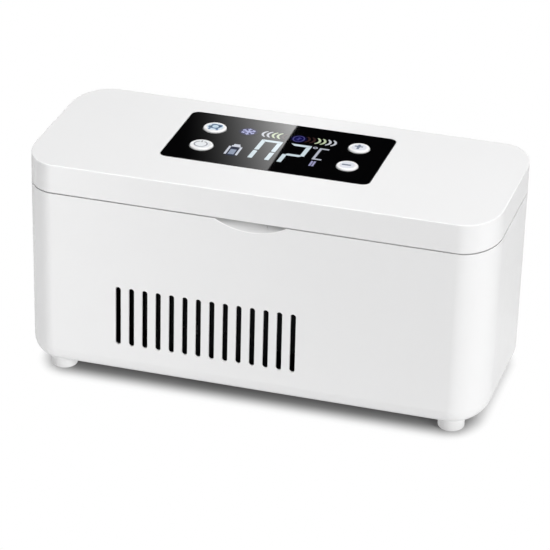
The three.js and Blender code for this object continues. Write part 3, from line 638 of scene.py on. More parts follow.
def ventPockets():
    # the wall is thinner where the slots go through
    reach = ((vents["count"] - 1) * vents["pitch"] + vents["width"]) / 2 + vents["margin"]
    foot, top = vents["foot"] - vents["margin"], vents["foot"] + vents["length"] + vents["margin"]
    outer = halfDepth - narrowing((foot + top) / 2) - vents["wall"]
    pockets = []
    for side in (-1, 1):
        low, high = sorted((side * outer, side * (outer - wall)))
        pockets.append(block("pocket", (vents["x"] - reach, low, foot), (vents["x"] + reach, high, top)))
    return pockets


def scoopCircle():
    # radius and height of the middle of the arc that the scoop draws on the front
    radius = scoop["width"] ** 2 / 8 / scoop["drop"] + scoop["drop"] / 2
    return radius, rim - scoop["drop"] + radius


def scoopCutter():
    # a cone let into the front wall, deepest under the lid and running out at its lower rim
    radius, middle = scoopCircle()
    slope = (scoop["drop"] - scoop["backHeight"]) / scoop["depth"]
    deselectAll()
    bpy.ops.mesh.primitive_cone_add(
        vertices=scoop["steps"],
        radius1=radius + slope * past,
        radius2=radius - slope * scoop["depth"],
        depth=scoop["depth"] + past,
        location=(0, (scoop["depth"] - past) / 2 - halfDepth, middle),
        rotation=(-math.pi / 2, 0, 0),
    )
    return settle(bpy.context.object)


def hingeWedge(side):
    # the room behind the hinge axis, on the lower or the upper side of the seam
    reach = halfDepth + past - hinge.y
    low = (-halfLength - past, hinge.y, min(hinge.z, hinge.z - side * reach))
    high = (halfLength + past, hinge.y + reach, max(hinge.z, hinge.z - side * reach))
    wedge = block("wedge", low, high)
    pick(wedge, lambda vertex: vertex.co.y > hinge.y + hair and abs(vertex.co.z - hinge.z) < hair, "VERT")
    rise = side * reach * math.tan(hingeForm["stopTurn"])
    bpy.ops.transform.translate(value=(0, 0, rise))
    leaveEdit()
    return wedge


def hingeRod(name, start, end, radius):
    return rod(name, (start, hinge.y, hinge.z), (end, hinge.y, hinge.z), radius)


def hingeRods(start, end, radius):
    return [hingeRod("hingeRod", -end, -start, radius), hingeRod("hingeRod", start, end, radius)]


def pinBores():
    return hingeRods(hingeForm["barrelEnd"] - hingeForm["pinGrip"], earEnd + past, hingeForm["pinBore"])


def aheadOfHinge(edge):
    return all(vertex.co.y < hinge.y - hingeForm["edgeReach"] for vertex in edge.verts)


def cornerPosts(shell):
    # a screw post over each foot, tied to the wall beside it by a rib
    for place in footPlaces.values():
        foot = baseTop + caseForm["splitGap"]
        top = foot + caseForm["postHeight"]
        side = math.copysign(1, place.x)
        wallX = side * (halfLength - 2 * wall / 3 - narrowing(baseTop) - caseForm["bottomRound"] / 4)
        near, far = sorted((place.x, wallX))
        thin = caseForm["ribThickness"] / 2
        rib = block("rib", (near, place.y - thin, foot + wall), (far, place.y + thin, top))
        weld(shell, post("post", place, foot, top, caseForm["postRadius"], steps=32), rib)
        cutAway(shell, post("bore", place, 0, top - past, caseForm["screwBore"]))


def makeShell():
    shell = caseBlock("caseShell", 0, rim)
    sliceOff(shell, splitPlane + caseForm["splitGap"], True)
    openingInset = caseForm["bottomRound"] + narrowing(underside) + caseForm["openingLip"]
    opening = roundedBlock(
        "opening",
        (openingInset - halfLength, openingInset - halfDepth, 0),
        (halfLength - openingInset, halfDepth - openingInset, underside + wall + past),
        caseForm["cornerAlong"] - openingInset,
        caseForm["cornerAcross"] - openingInset,
        steps=8,
    )
    inset = wall + narrowing(beamFoot)
    ledgeFoot = ledgeTop - caseForm["ledgeThickness"]
    cutAway(
        shell,
        opening,
        caseBlock("cavity", wall, beamFoot),
        wellBlock("well", inset, beamFoot - past, ledgeFoot),
        wellBlock("wellMouth", inset + caseForm["ledgeReach"], beamFoot, rim + past),
        wellBlock("deckSeat", inset, ledgeTop, rim + past),
    )
    cornerPosts(shell)
    cutAway(shell, hingeWedge(-1))
    barrelEnd = hingeForm["barrelEnd"]
    weld(shell, hingeRod("barrel", -barrelEnd, barrelEnd, hingeForm["barrel"]))
    relief = hingeForm["barrel"] + hingeForm["clearance"]
    cutAway(shell, *hingeRods(barrelEnd, earEnd + hingeForm["gap"], relief), *pinBores())
    cutAway(shell, *ventPockets(), ventCutters(), scoopCutter())
    jack = middleOf("dc_jack")
    cutAway(shell, rod("jackHole", (jack.x, 0, jack.z), (jack.x, halfDepth + past, jack.z), caseForm["jackHole"]))
    return shell


def isVentRim(edge):
    # sharp and on the front or the rear face, whatever its draft
    onFace = lambda vertex: abs(abs(vertex.co.y) - (halfDepth - narrowing(vertex.co.z))) < 2 * hair
    low = edge.verts[0].co.z < rim - vents["belowRim"]
    return low and isSharp(edge, 60) and all(onFace(vertex) for vertex in edge.verts)


def inScoop(face):
    middle = face.calc_center_median()
    inWidth = abs(middle.x) < scoop["width"] / 2
    inDepth = scoop["lip"] < middle.y + halfDepth < scoop["depth"] + hair
    return inWidth and inDepth and rim - scoop["drop"] < middle.z < rim - hair


def paintScoopShade():
    # the plastic of the shell with painted shade, darker close under the lid, and a painted highlight, a bright line
    # along its lower rim
    material, tree, shader = newFinish("scoopShade")
    radius, middle = scoopCircle()
    place = objectPlace(tree)
    height = addNode(tree, "SeparateXYZ", {0: place}).outputs["Z"]
    shade = greyRamp(tree, span(tree, height, rim, rim - scoop["drop"]), scoop["shades"])
    flat = addNode(tree, "VectorMath", {0: place, 1: (1, 0, 1)}, operation="MULTIPLY").outputs[0]
    away = addNode(tree, "VectorMath", {0: flat, 1: (0, 0, middle)}, operation="DISTANCE").outputs["Value"]
    line = span(tree, away, radius - scoop["rimLine"], radius - scoop["rimLine"] / 2)
    tone = mixTones(tree, line, shade, scoop["rimTone"])
    feed(tree, shader, {"Base Color": tone, "Roughness": spread(tree, grainOf(tree, 4 * mm), 0.3, 0.34)})
    return material


shell = makeShell()
bevelEdges(shell, isVentRim, vents["rimRound"], steps=2)
softenRim(shell, rim, caseForm["edgeRound"], steps=3, degrees=40, test=aheadOfHinge)
finishPiece(shell, finishes["shell"], "white_shell", "case", "housing", degrees=20)
# painted shade in the scoop under the lid, with a painted highlight along its lower rim
faceFinish(shell, paintScoopShade(), inScoop)
print("case shell made")

grille = {
    "count": 9,
    "pitch": 5.6 * mm,
    "width": 3 * mm,
    "radius": 26 * mm,
    "endSteps": 8,
    "screwBore": 1.2 * mm,
    "headRadius": 2.1 * mm,
    "headSink": 1.6 * mm,
}
fanMid = middleOf("fan_frame")


def grilleCutters():
    cutters = []
    for i in range(grille["count"]):
        offset = (i - (grille["count"] - 1) / 2) * grille["pitch"]
        reach = math.sqrt(grille["radius"] ** 2 - offset ** 2)
        x, half = fanMid.x + offset, grille["width"] / 2
        low, high = (x - half, fanMid.y - reach, 0), (x + half, fanMid.y + reach, baseTop + past)
        cutters.append(roundedBlock(f"grilleSlot{i}", low, high, half, half, grille["endSteps"]))
    return joined(cutters)


def makeBase():
    base = caseBlock("baseSkin", 0, rim)
    sliceOff(base, splitPlane, False)
    drawOut(base, splitPlane, caseForm["baseStep"], baseTop - splitPlane)
    cutAway(base, grilleCutters())
    for place in footPlaces.values():
        cutAway(base, post("bore", place, 0, rim, caseForm["screwBore"]))
    for spot in map(middleOf, nodesNamed("fan_screw")):
        cutAway(base, post("bore", spot, 0, rim, grille["screwBore"]))
        cutAway(base, post("headRoom", spot, 0, underside + grille["headSink"], grille["headRadius"], steps=32))
    softenRim(base, underside, caseForm["baseRound"], steps=2)
    return base


def inBasePaintedShade(face):
    # painted shade: the top of the base and the walls of its grille are made black, so that the case looks dark inside
    # through the slots
    middle = face.calc_center_median()
    inGrille = (middle - fanMid).to_2d().length < grille["radius"] and middle.z > underside + hair
    facesUp = face.normal.z > 0.9
    return inGrille or (facesUp and middle.z > splitPlane + hair)


base = makeBase()
finishPiece(base, finishes["shell"], "white_shell", "case", "base_plate")
# painted shade: black on the inside of the base, in place of the shade that falls inside the case
faceFinish(base, finishes["black"], inBasePaintedShade)
print("base made")


# Feet, turned, with a recess from below for the screw
footForm = {"radius": 6.1 * mm, "rounding": 1.4 * mm, "recess": 3.4 * mm, "recessDepth": 3.5 * mm}


def makeFoot(name, place):
    foot = post(name, place, 0, underside, footForm["radius"], steps=64)
    bevelEdges(foot, levelAt(0), footForm["rounding"], steps=6)
    drawOut(foot, 0, footForm["radius"] - footForm["rounding"] - footForm["recess"], footForm["recessDepth"])
    cutAway(foot, post("bore", place, -past, rim, caseForm["screwBore"]))
    return foot


for name, place in footPlaces.items():
    finishPiece(makeFoot(name.replace("foot_", "footPad_"), place), finishes["rubber"], "foot_white", "case", name)
print("feet made")


# Inside of the case: deck and chamber
mouth = {
    "corner": 6 * mm,
    "leastCorner": 1.2 * mm,
    "sheet": 1.5 * mm,
    "flangeReach": 3.5 * mm,
    "flangeThickness": 1.2 * mm,
    "lipRound": 0.8 * mm,
    "trayRound": 3 * mm,
    "deckGap": 0.3 * mm,
}
mouthMid = middleOf("cooling_chamber")
mouthHalf = (trayHigh - trayLow) / 2 - Vector((1, 1, 0)) * (mouth["sheet"] + mouth["flangeReach"])


def mouthBlock(name, margin, foot, top):
    corner = max(mouth["corner"] + margin, mouth["leastCorner"])
    return marginBlock(name, mouthMid, mouthHalf, margin, foot, top, corner)


def platePocket(node, gap, foot, top):
    low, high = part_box(node)
    return block("pocket", (low.x - gap, low.y - gap, foot), (high.x + gap, high.y + gap, top))


def atMouth(edge):
    inside = lambda co: abs(co.x) < mouthHalf.x + hair and abs(co.y - mouthMid.y) < mouthHalf.y + hair
    return all(inside(vertex.co) for vertex in edge.verts)


def makeDeck():
    deck = wellBlock("deckSkin", wall + narrowing(beamFoot) + mouth["deckGap"], ledgeTop, rim)
    cutAway(deck, mouthBlock("mouth", 0, 0, lidTop))
    for node in nodesNamed("catch_plate"):
        cutAway(deck, platePocket(node, mouth["deckGap"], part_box(node)[0].z, rim + past))
    softenRim(deck, rim, mouth["lipRound"], steps=4, test=atMouth)
    softenRim(deck, rim, caseForm["fineRound"], steps=2)
    return deck


def makeTray():
    sheet = mouth["sheet"]
    tray = mouthBlock("trayBody", sheet, trayLow.z, trayHigh.z)
    bevelEdges(tray, levelAt(trayLow.z), mouth["trayRound"], steps=6)
    weld(tray, mouthBlock("flange", sheet + mouth["flangeReach"], trayHigh.z - mouth["flangeThickness"], trayHigh.z))
    room = mouthBlock("room", 0, trayLow.z + sheet, rim)
    bevelEdges(room, levelAt(trayLow.z + sheet), mouth["trayRound"] - sheet, steps=6)
    cutAway(tray, room)
    return tray


finishPiece(makeDeck(), finishes["inner"], "inner_white", "case", "top_deck")
finishPiece(makeTray(), finishes["tray"], "chamber_aluminium", "case", "cooling_chamber")
print("deck and chamber made")


# Lid: shell, liner, seal
lidForm = {
    "topRound": 0.5 * mm,
    "topThickness": 3.2 * mm,
    "beamHeight": 4.7 * mm,
    "lensCorner": 3.6 * mm,
    "lensGap": 0.2 * mm,
    "lensLedge": 2 * mm,
    "lensRound": 0.15 * mm,
    "boss": 2.5 * mm,
    "bossRoot": 0.8 * mm,
    "bossBore": 1.2 * mm,
    "boreEnd": 0.4 * mm,
}
linerForm = {
    "thickness": 2 * mm,
    "plugGap": 2 * mm,
    "plugWall": 1.5 * mm,
    "rounding": 1.2 * mm,
    "pocketGap": 0.3 * mm,
    "sealInner": 0.5 * mm,
    "sealLip": 0.55 * mm,
}
lensMid = middleOf("display_lens")
lensHalf = (lensHigh - lensLow) / 2


def lensBlock(name, margin, foot, top):
    return marginBlock(name, lensMid, lensHalf, margin, foot, top, lidForm["lensCorner"] + margin)


def makeLid():
    along, across = caseForm["cornerAlong"], caseForm["cornerAcross"]
    low, high = Vector((-halfLength, -halfDepth, lidBase)), Vector((halfLength, halfDepth, lidTop))
    lid = roundedBlock("lidSkin", low, high, along, across, caseForm["cornerSteps"])
    bevelEdges(lid, levelAt(lidTop), lidForm["topRound"], steps=5)
    inset = Vector((wall, wall, 0))
    beamTop = lidBase + lidForm["beamHeight"]
    ceiling = lidTop - lidForm["topThickness"]
    roomLow, roomHigh = low + inset, high - inset
    roomLow.z, roomHigh.z = beamTop, ceiling
    cutAway(
        lid,
        wellBlock("lidWell", wall, 0, beamTop + hair),
        roundedBlock("lidRoom", roomLow, roomHigh, along - wall, across - wall, caseForm["cornerSteps"]),
        lensBlock("lensSeat", lidForm["lensGap"], lensLow.z, lidTop + past),
        lensBlock("lensWindow", -lidForm["lensLedge"], 0, lidTop + past),
    )
    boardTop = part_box("display_board")[1].z
    for spot in map(middleOf, nodesNamed("display_screw")):
        weld(lid, post("boss", spot, boardTop, ceiling + lidForm["bossRoot"], lidForm["boss"], steps=32))
        cutAway(lid, post("bore", spot, 0, ceiling + lidForm["boreEnd"], lidForm["bossBore"]))
    cutAway(lid, hingeWedge(1))
    weld(lid, *hingeRods(earStart, earEnd, hingeForm["barrel"]))
    relief = hingeForm["barrel"] + hingeForm["clearance"]
    cutAway(lid, hingeRod("relief", -earStart, earStart, relief), *pinBores())
    softenRim(lid, lidBase, caseForm["edgeRound"], steps=3, test=aheadOfHinge)
    softenRim(lid, lidTop, caseForm["fineRound"], steps=2)
    return lid


def makeLiner():
    panelFoot = linerHigh.z - linerForm["thickness"]
    liner = wellBlock("linerSkin", wall + linerForm["pocketGap"], panelFoot, linerHigh.z)
    plug = mouthBlock("plug", -linerForm["plugGap"], linerLow.z, linerHigh.z)
    bevelEdges(plug, levelAt(linerLow.z), linerForm["rounding"], steps=5)
    weld(liner, plug)
    hollowMargin = -linerForm["plugGap"] - linerForm["plugWall"]
    cutAway(liner, mouthBlock("hollow", hollowMargin, linerLow.z + linerForm["plugWall"], lidTop))
    for node in nodesNamed("magnet"):
        cutAway(liner, platePocket(node, linerForm["pocketGap"], 0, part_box(node)[1].z))
    softenRim(liner, panelFoot, caseForm["fineRound"], steps=2)
    return liner


def makeSeal():
    # a soft ring with a rounded lip all round
    low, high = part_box("lid_gasket")
    outer = high.x - mouthMid.x - mouthHalf.x
    seal = mouthBlock("sealRing", outer, low.z, high.z)
    cutAway(seal, mouthBlock("sealRoom", -linerForm["sealInner"], 0, lidTop))
    softenRim(seal, low.z, linerForm["sealLip"], steps=4)
    return seal


finishPiece(makeLid(), finishes["shell"], "white_shell", "lid", "lid_shell")
print("lid made")
finishPiece(makeLiner(), finishes["inner"], "inner_white", "lid", "lid_liner")
finishPiece(makeSeal(), finishes["seal"], "seal_grey", "lid", "lid_gasket")
print("liner and seal made")


# Display pane and the four buttons
buttonForm = {
    "gap": 0.25 * mm,
    "flange": 1 * mm,
    "flangeThickness": 0.8 * mm,
    "stemRadius": 2 * mm,
    "stemLength": 0.5 * mm,
    "edge": 0.75 * mm,
    "rimWidth": 0.5 * mm,
    "tintInset": 0.8 * mm,
    "dish": 0.06 * mm,
    "steps": 64,
}
buttonNodes = nodesNamed("button_")
buttonSpots = {name: middleOf(name) for name in buttonNodes}
buttonRadii = {name: (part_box(name)[1].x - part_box(name)[0].x) / 2 - buttonForm["flange"] for name in buttonNodes}


def makePane():
    pane = lensBlock("displayPane", 0, lensLow.z, lensHigh.z)
    for node, spot in buttonSpots.items():
        hole = buttonRadii[node] + buttonForm["gap"]
        cutAway(pane, post("hole", spot, 0, lidTop + past, hole, buttonForm["steps"]))
    softenRim(pane, lensHigh.z, lidForm["lensRound"], steps=3)
    return pane


def makeButton(name, node):
    # flange below the pane, cap through it, and a stem down to the switch
    low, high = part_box(node)
    foot, face = low.z + buttonForm["stemLength"], high.z - buttonForm["dish"]
    flangeTop = foot + buttonForm["flangeThickness"]
    wide = buttonRadii[node] + buttonForm["flange"]
    cap = post(name, buttonSpots[node], foot, flangeTop, wide, buttonForm["steps"])
    drawOut(cap, flangeTop, buttonForm["flange"], face - flangeTop)
    bevelEdges(cap, levelAt(face), buttonForm["edge"], steps=5)
    pick(cap, levelAt(face), "FACE")
    bpy.ops.mesh.inset(thickness=buttonForm["rimWidth"])
    bpy.ops.mesh.inset(thickness=buttonForm["rimWidth"] / 2, depth=-buttonForm["dish"])
    leaveEdit()
    drawOut(cap, foot, wide - buttonForm["stemRadius"], -buttonForm["stemLength"])
    return cap


finishPiece(makePane(), finishes["pane"], "lens_black", "lid", "display_lens")
for node in buttonNodes:
    use = node.replace("button_", "")
    finishPiece(makeButton(f"{use}Button", node), finishes["cap"], "button_white", f"{use}_key", node)
print("pane and buttons made")


# Lit marks on the pane and printed marks on the buttons, all thin flat shapes
markForm = {"foot": 0.005 * mm, "thickness": 0.02 * mm, "arcSteps": 24, "discSteps": 48}


def flatShape(name, outline, foot):
    deselectAll()
    bpy.ops.mesh.primitive_circle_add(vertices=len(outline), radius=mm, fill_type="NGON")
    shape = bpy.context.object
    shape.name = shape.data.name = name
    for vertex, (x, y) in zip(shape.data.vertices, outline):
        vertex.co = (x, y, foot)
    pick(shape, lambda face: True, "FACE")
    extrude(markForm["thickness"])
    bpy.ops.mesh.select_all(action="SELECT")
    bpy.ops.mesh.normals_make_consistent(inside=False)
    leaveEdit()
    return shape


def barOutline(x, y, length, width, degrees=0):
    # a straight stroke from its middle
    turn = math.radians(degrees)
    along = Vector((math.cos(turn), math.sin(turn))) * length / 2
    across = Vector((-math.sin(turn), math.cos(turn))) * width / 2
    middle = Vector((x, y))
    return [middle + along + across, middle - along + across, middle - along - across, middle + along - across]


def arcOutline(x, y, radius, width, start, end, thinning=0, stretch=1):
    # a curved stroke between two bearings in degrees; it can thin out to its ends and be taller than wide
    outer, inner = [], []
    for i in range(markForm["arcSteps"] + 1):
        share = i / markForm["arcSteps"]
        turn = math.radians(start + (end - start) * share)
        half = width / 2 * (1 - thinning * (2 * share - 1) ** 2)
        for reach, side in ((half, outer), (-half, inner)):
            side.append((x + (radius + reach) * math.cos(turn), y + (radius * stretch + reach) * math.sin(turn)))
    return outer + inner[::-1]


def ringOutline(x, y, radius, width, stretch=1):
    # all but closed, so that its outline never meets itself
    return arcOutline(x, y, radius, width, 0, 359, 0, stretch)


def discOutline(x, y, radius):
    turns = [2 * math.pi * i / markForm["discSteps"] for i in range(markForm["discSteps"])]
    return [(x + radius * math.cos(turn), y + radius * math.sin(turn)) for turn in turns]


def leaned(outlines, share, foot):
    # the same outlines, leaning to the right above a height
    return [[(x + share * (y - foot), y) for x, y in outline] for outline in outlines]


def markOf(name, outlines, foot, tone, body):
    shapes = [flatShape(f"{name}Stroke{i}", outline, foot) for i, outline in enumerate(outlines)]
    mark = joined(shapes)
    mark.name = mark.data.name = name
    mark.data.materials.clear()
    mark.data.materials.append(tone)
    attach(mark, body)
    return mark


printed = ({"Specular IOR Level": 0.2}, (0.5, 0.6))  # a tint without the gloss of the pane
toneFacts = {
    "digit": ("digitLight", (0.62, 0.72, 0.77)),
    "white": ("markLight", (0.57, 0.59, 0.64)),
    "grey": ("dimLight", (0.46, 0.48, 0.55)),
    "frame": ("frameLight", (0.6, 0.63, 0.71)),
    "cell": ("cellLight", (0.3, 0.35, 0.46), *printed),
    "ground": ("groundTint", (0.012, 0.018, 0.045), *printed),
    "lime": ("limeLight", (0.52, 0.6, 0.41)),
    "red": ("redLight", (0.035, 0.015, 0.014)),
    "lilac": ("lilacLight", (0.4, 0.42, 0.66)),
    "dimLilac": ("dimLilacLight", (0.33, 0.33, 0.52)),
    "ring": ("ringLight", (0.06, 0.056, 0.19)),
    "blue": ("blueLight", (0.047, 0.045, 0.2)),
}
tones = {name: litFinish(*facts) for name, facts in toneFacts.items()}
paneTop = lensHigh.z + markForm["foot"]
overHalo = paneTop + markForm["thickness"] + markForm["foot"]


def litMark(name, outlines, tone, foot=paneTop):
    return markOf(name, outlines, foot, tones[tone], "lid")


def haloUnder(name, mark):
    x, y, reach = mark["x"], mark["y"], mark["haloReach"]
    halo = haloFinish(f"{name}Light", mark["haloTone"], (x, y, paneTop + markForm["thickness"]), reach)
    markOf(name, [discOutline(x, y, reach)], paneTop, halo, "lid")


digitForm = {
    "tensX": -13.4 * mm,
    "unitsX": 0.42 * mm,
    "width": 10.05 * mm,
    "height": 21.5 * mm,
    "foot": -8.6 * mm,
    "stroke": 2.1 * mm,
    "gap": 0.12 * mm,
    "openGap": 0.45 * mm,
    "openInner": 0.765 * mm,
    "middle": 9.05 * mm,
    "leanShare": 0.037,
}


def digitOutlines(left, lit):
    # the lit strokes of a seven-stroke digit; where the middle one is dark, the uprights end short of it
    w, h, t, g, mid = (digitForm[key] for key in ("width", "height", "stroke", "gap", "middle"))
    withMiddle = "middle" in lit
    outer = g if withMiddle else digitForm["openGap"]
    inner = t / 2 + g if withMiddle else digitForm["openInner"]
    lower = [(0, 0), (t, 0), (t, mid - inner), (t / 2, mid - outer), (0, mid - outer)]
    upper = [(0, h - g), (t, h - t - g), (t, mid + inner), (t / 2, mid + outer), (0, mid + outer)]
    mirrored = lambda points: [(w - x, y) for x, y in points]
    strokes = {
        "top": [(g, h), (w - g, h), (w - t - g, h - t), (t + g, h - t)],
        "middle": [
            (t / 2 + g, mid),
            (t + g, mid - t / 2),
            (w - t - g, mid - t / 2),
            (w - t / 2 - g, mid),
            (w - t - g, mid + t / 2),
            (t + g, mid + t / 2),
        ],
        "leftLower": lower,
        "leftUpper": upper,
        "rightLower": mirrored(lower),
        "rightUpper": mirrored(upper),
    }
    outlines = [[(left + x, digitForm["foot"] + y) for x, y in strokes[name]] for name in lit]
    return leaned(outlines, digitForm["leanShare"], digitForm["foot"])


tensStrokes = ["top", "leftUpper", "rightUpper", "leftLower", "rightLower"]
litMark("tensDigit", digitOutlines(digitForm["tensX"], tensStrokes), "digit")
unitsStrokes = ["top", "rightUpper", "middle", "leftLower"]
litMark("unitsDigit", digitOutlines(digitForm["unitsX"], unitsStrokes), "digit")

degreeForm = {
    "x": 14.75 * mm,
    "foot": -0.9 * mm,
    "width": 4.5 * mm,
    "height": 13.1 * mm,
    "upright": 10.475 * mm,
    "stroke": 1.25 * mm,
    "ring": (13.1 * mm, 11.7 * mm, 0.85 * mm, 0.55 * mm),
}


def letterOutlines():
    x, y, w, h, t = (degreeForm[key] for key in ("x", "foot", "width", "height", "stroke"))
    strokes = [
        barOutline(x + w / 2, y + t / 2, w, t),
        barOutline(x + w / 2, y + h - t / 2, w, t),
        barOutline(x + t / 2, y + h / 2, degreeForm["upright"], t, 90),
    ]
    return leaned(strokes, digitForm["leanShare"], y)


litMark("scaleLetter", letterOutlines(), "grey")
litMark("degreeRing", [ringOutline(*degreeForm["ring"])], "grey")

levels = {
    "left": [-14.15 * mm, -11.75 * mm, -9.3 * mm, -6.9 * mm, -4.5 * mm],
    "right": [8 * mm, 10.5 * mm, 13 * mm, 15.5 * mm, 18 * mm, 20.5 * mm],
    "leftY": 19.1 * mm,
    "rightY": 19.3 * mm,
    "radius": 3.75 * mm,
    "stroke": 1.15 * mm,
    "spread": 56,
    "thinning": 0.45,
}


def levelOutlines(side, first, end):
    # curved marks that open towards the middle of the pane
    bend, facing = (-1, 180) if side == "left" else (1, 0)
    return [
        arcOutline(
            x - bend * levels["radius"],
            levels[f"{side}Y"],
            levels["radius"],
            levels["stroke"],
            facing - levels["spread"],
            facing + levels["spread"],
            levels["thinning"],
        )
        for x in levels[side][first:end]
    ]


levelMarks = {
    "coolLevelWhite": ("left", 0, 2, "white"),
    "coolLevelLime": ("left", 2, 4, "lime"),
    "coolLevelRed": ("left", 4, 5, "red"),
    "warmLevelRed": ("right", 0, 2, "red"),
    "warmLevelLime": ("right", 2, 4, "lime"),
    "warmLevelWhite": ("right", 4, 6, "white"),
}
for name, (side, first, end, tone) in levelMarks.items():
    litMark(name, levelOutlines(side, first, end), tone)

frost = {
    "x": -21.1 * mm,
    "y": 18.9 * mm,
    "arm": 6.8 * mm,
    "stroke": 0.8 * mm,
    "twig": 1.25 * mm,
    "twigStroke": 0.56 * mm,
    "twigLean": 50,
    "twigPlaceShare": 0.6,
    "haloReach": 5 * mm,
    "haloTone": (0.002, 0.002, 0.11),
}


def frostOutlines():
    x, y, arm, twig = (frost[key] for key in ("x", "y", "arm", "twig"))
    outlines = [barOutline(x, y, arm, frost["stroke"], 90 + i * 60) for i in range(3)]
    for i in range(6):
        turn = math.radians(90 + i * 60)
        reach = arm / 2 * frost["twigPlaceShare"]
        for lean in (-frost["twigLean"], frost["twigLean"]):
            bearing = turn + math.radians(lean)
            midX = x + reach * math.cos(turn) + twig / 2 * math.cos(bearing)
            midY = y + reach * math.sin(turn) + twig / 2 * math.sin(bearing)
            outlines.append(barOutline(midX, midY, twig, frost["twigStroke"], math.degrees(bearing)))
    return outlines


haloUnder("frostHalo", frost)
litMark("frostIcon", frostOutlines(), "lilac", overHalo)

dial = {
    "x": 3.1 * mm,
    "y": 18.9 * mm,
    "radius": 2.55 * mm,
    "stroke": 0.6 * mm,
    "stretch": 1.27,
    "hands": [(3.315 * mm, 0.84 * mm, 90), (2.805 * mm, 0.6 * mm, 35)],
    "haloReach": 4.6 * mm,
    "haloTone": (0.006, 0.005, 0.07),
}
haloUnder("dialHalo", dial)
dialRing = ringOutline(*(dial[key] for key in ("x", "y", "radius", "stroke", "stretch")))
litMark("dialRing", [dialRing], "ring", overHalo)
litMark("dialHands", [barOutline(dial["x"], dial["y"], *hand) for hand in dial["hands"]], "blue", overHalo)

battery = {
    "x": -21.6 * mm,
    "foot": -8.3 * mm,
    "width": 6.4 * mm,
    "height": 10.2 * mm,
    "stroke": 1.05 * mm,
    "topStroke": 1.35 * mm,
    "capWidth": 3 * mm,
    "capHeight": 1.6 * mm,
    "shoulder": 1.1 * mm,
    "margin": 0.15 * mm,
    "cellWidth": 2.8 * mm,
    "cellHeight": 1.75 * mm,
    "cells": [-7.0 * mm, -5.15 * mm, -3.3 * mm],
}


def batteryOutlines():
    x, y, w, h, t = (battery[key] for key in ("x", "foot", "width", "height", "stroke"))
    upright = h - battery["shoulder"]
    return [
        barOutline(x - w / 2 + t / 2, y + upright / 2, upright, t, 90),
        barOutline(x + w / 2 - t / 2, y + upright / 2, upright, t, 90),
        barOutline(x, y + h - battery["topStroke"] / 2, w - 2 * battery["shoulder"], battery["topStroke"]),
        barOutline(x, y + h + battery["capHeight"] / 2, battery["capWidth"], battery["capHeight"]),
    ]


def batteryGround():
    x, y, w, h, t = (battery[key] for key in ("x", "foot", "width", "height", "stroke"))
    top = y + h - battery["topStroke"] - battery["margin"]
    return [barOutline(x, (y + top) / 2 - t / 2, w - 2 * t - 2 * battery["margin"], top - y + t)]


litMark("batteryIcon", batteryOutlines(), "frame")
litMark("batteryGround", batteryGround(), "ground")
cellBars = [barOutline(battery["x"], y, battery["cellWidth"], battery["cellHeight"]) for y in battery["cells"]]
litMark("batteryCells", cellBars, "cell", overHalo)

guard = {"places": [15.8 * mm, 17.1 * mm], "foot": -8.2 * mm, "height": 5.4 * mm, "width": 0.95 * mm}
guardY = guard["foot"] + guard["height"] / 2
litMark("guardIcon", [barOutline(x, guardY, guard["height"], guard["width"], 90) for x in guard["places"]], "dimLilac")
print("lit marks made")

inkForm = ((0.35, 0.42), 1 * mm)
tintForm = ((0.2, 0.24), 2 * mm)
inkFacts = {
    "blue": ("blueInk", (0.14, 0.24, 0.38), (0.13, 0.225, 0.36), *inkForm),
    "paleBlue": ("paleBlueInk", (0.7, 0.86, 0.97), (0.68, 0.84, 0.96), *inkForm),
    "grey": ("greyInk", (0.27, 0.28, 0.31), (0.25, 0.26, 0.29), *inkForm),
    "slate": ("slateInk", (0.13, 0.165, 0.235), (0.12, 0.15, 0.22), *inkForm),
    "tint": ("faceTint", (0.77, 0.79, 0.845), (0.76, 0.78, 0.838), *tintForm),
    "blueTint": ("blueFaceTint", (0.73, 0.82, 0.9), (0.71, 0.81, 0.89), *tintForm),
    "whiteTint": ("whiteFaceTint", (0.85, 0.87, 0.9), (0.84, 0.86, 0.89), *tintForm),
}
inks = {name: mouldedPlastic(*facts) for name, facts in inkFacts.items()}


def printedMark(name, node, outlines, ink, level=1):
    # level 0 lies on the face of the button, level 1 on its tint
    spot = buttonSpots[node]
    rise = markForm["foot"] + level * (markForm["thickness"] + markForm["foot"])
    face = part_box(node)[1].z - 2 * buttonForm["dish"] + rise
    placed = [[(spot.x + x, spot.y + y) for x, y in outline] for outline in outlines]
    markOf(name, placed, face, inks[ink], node.replace("button_", "") + "_key")


tintOf = {"mode": "blueTint", "power": "whiteTint", "plus": "tint", "minus": "tint"}
for node in buttonNodes:
    use = node.replace("button_", "")
    reach = buttonRadii[node] - buttonForm["edge"] - buttonForm["tintInset"]
    printedMark(f"{use}Tint", node, [discOutline(0, 0, reach)], tintOf[use], 0)

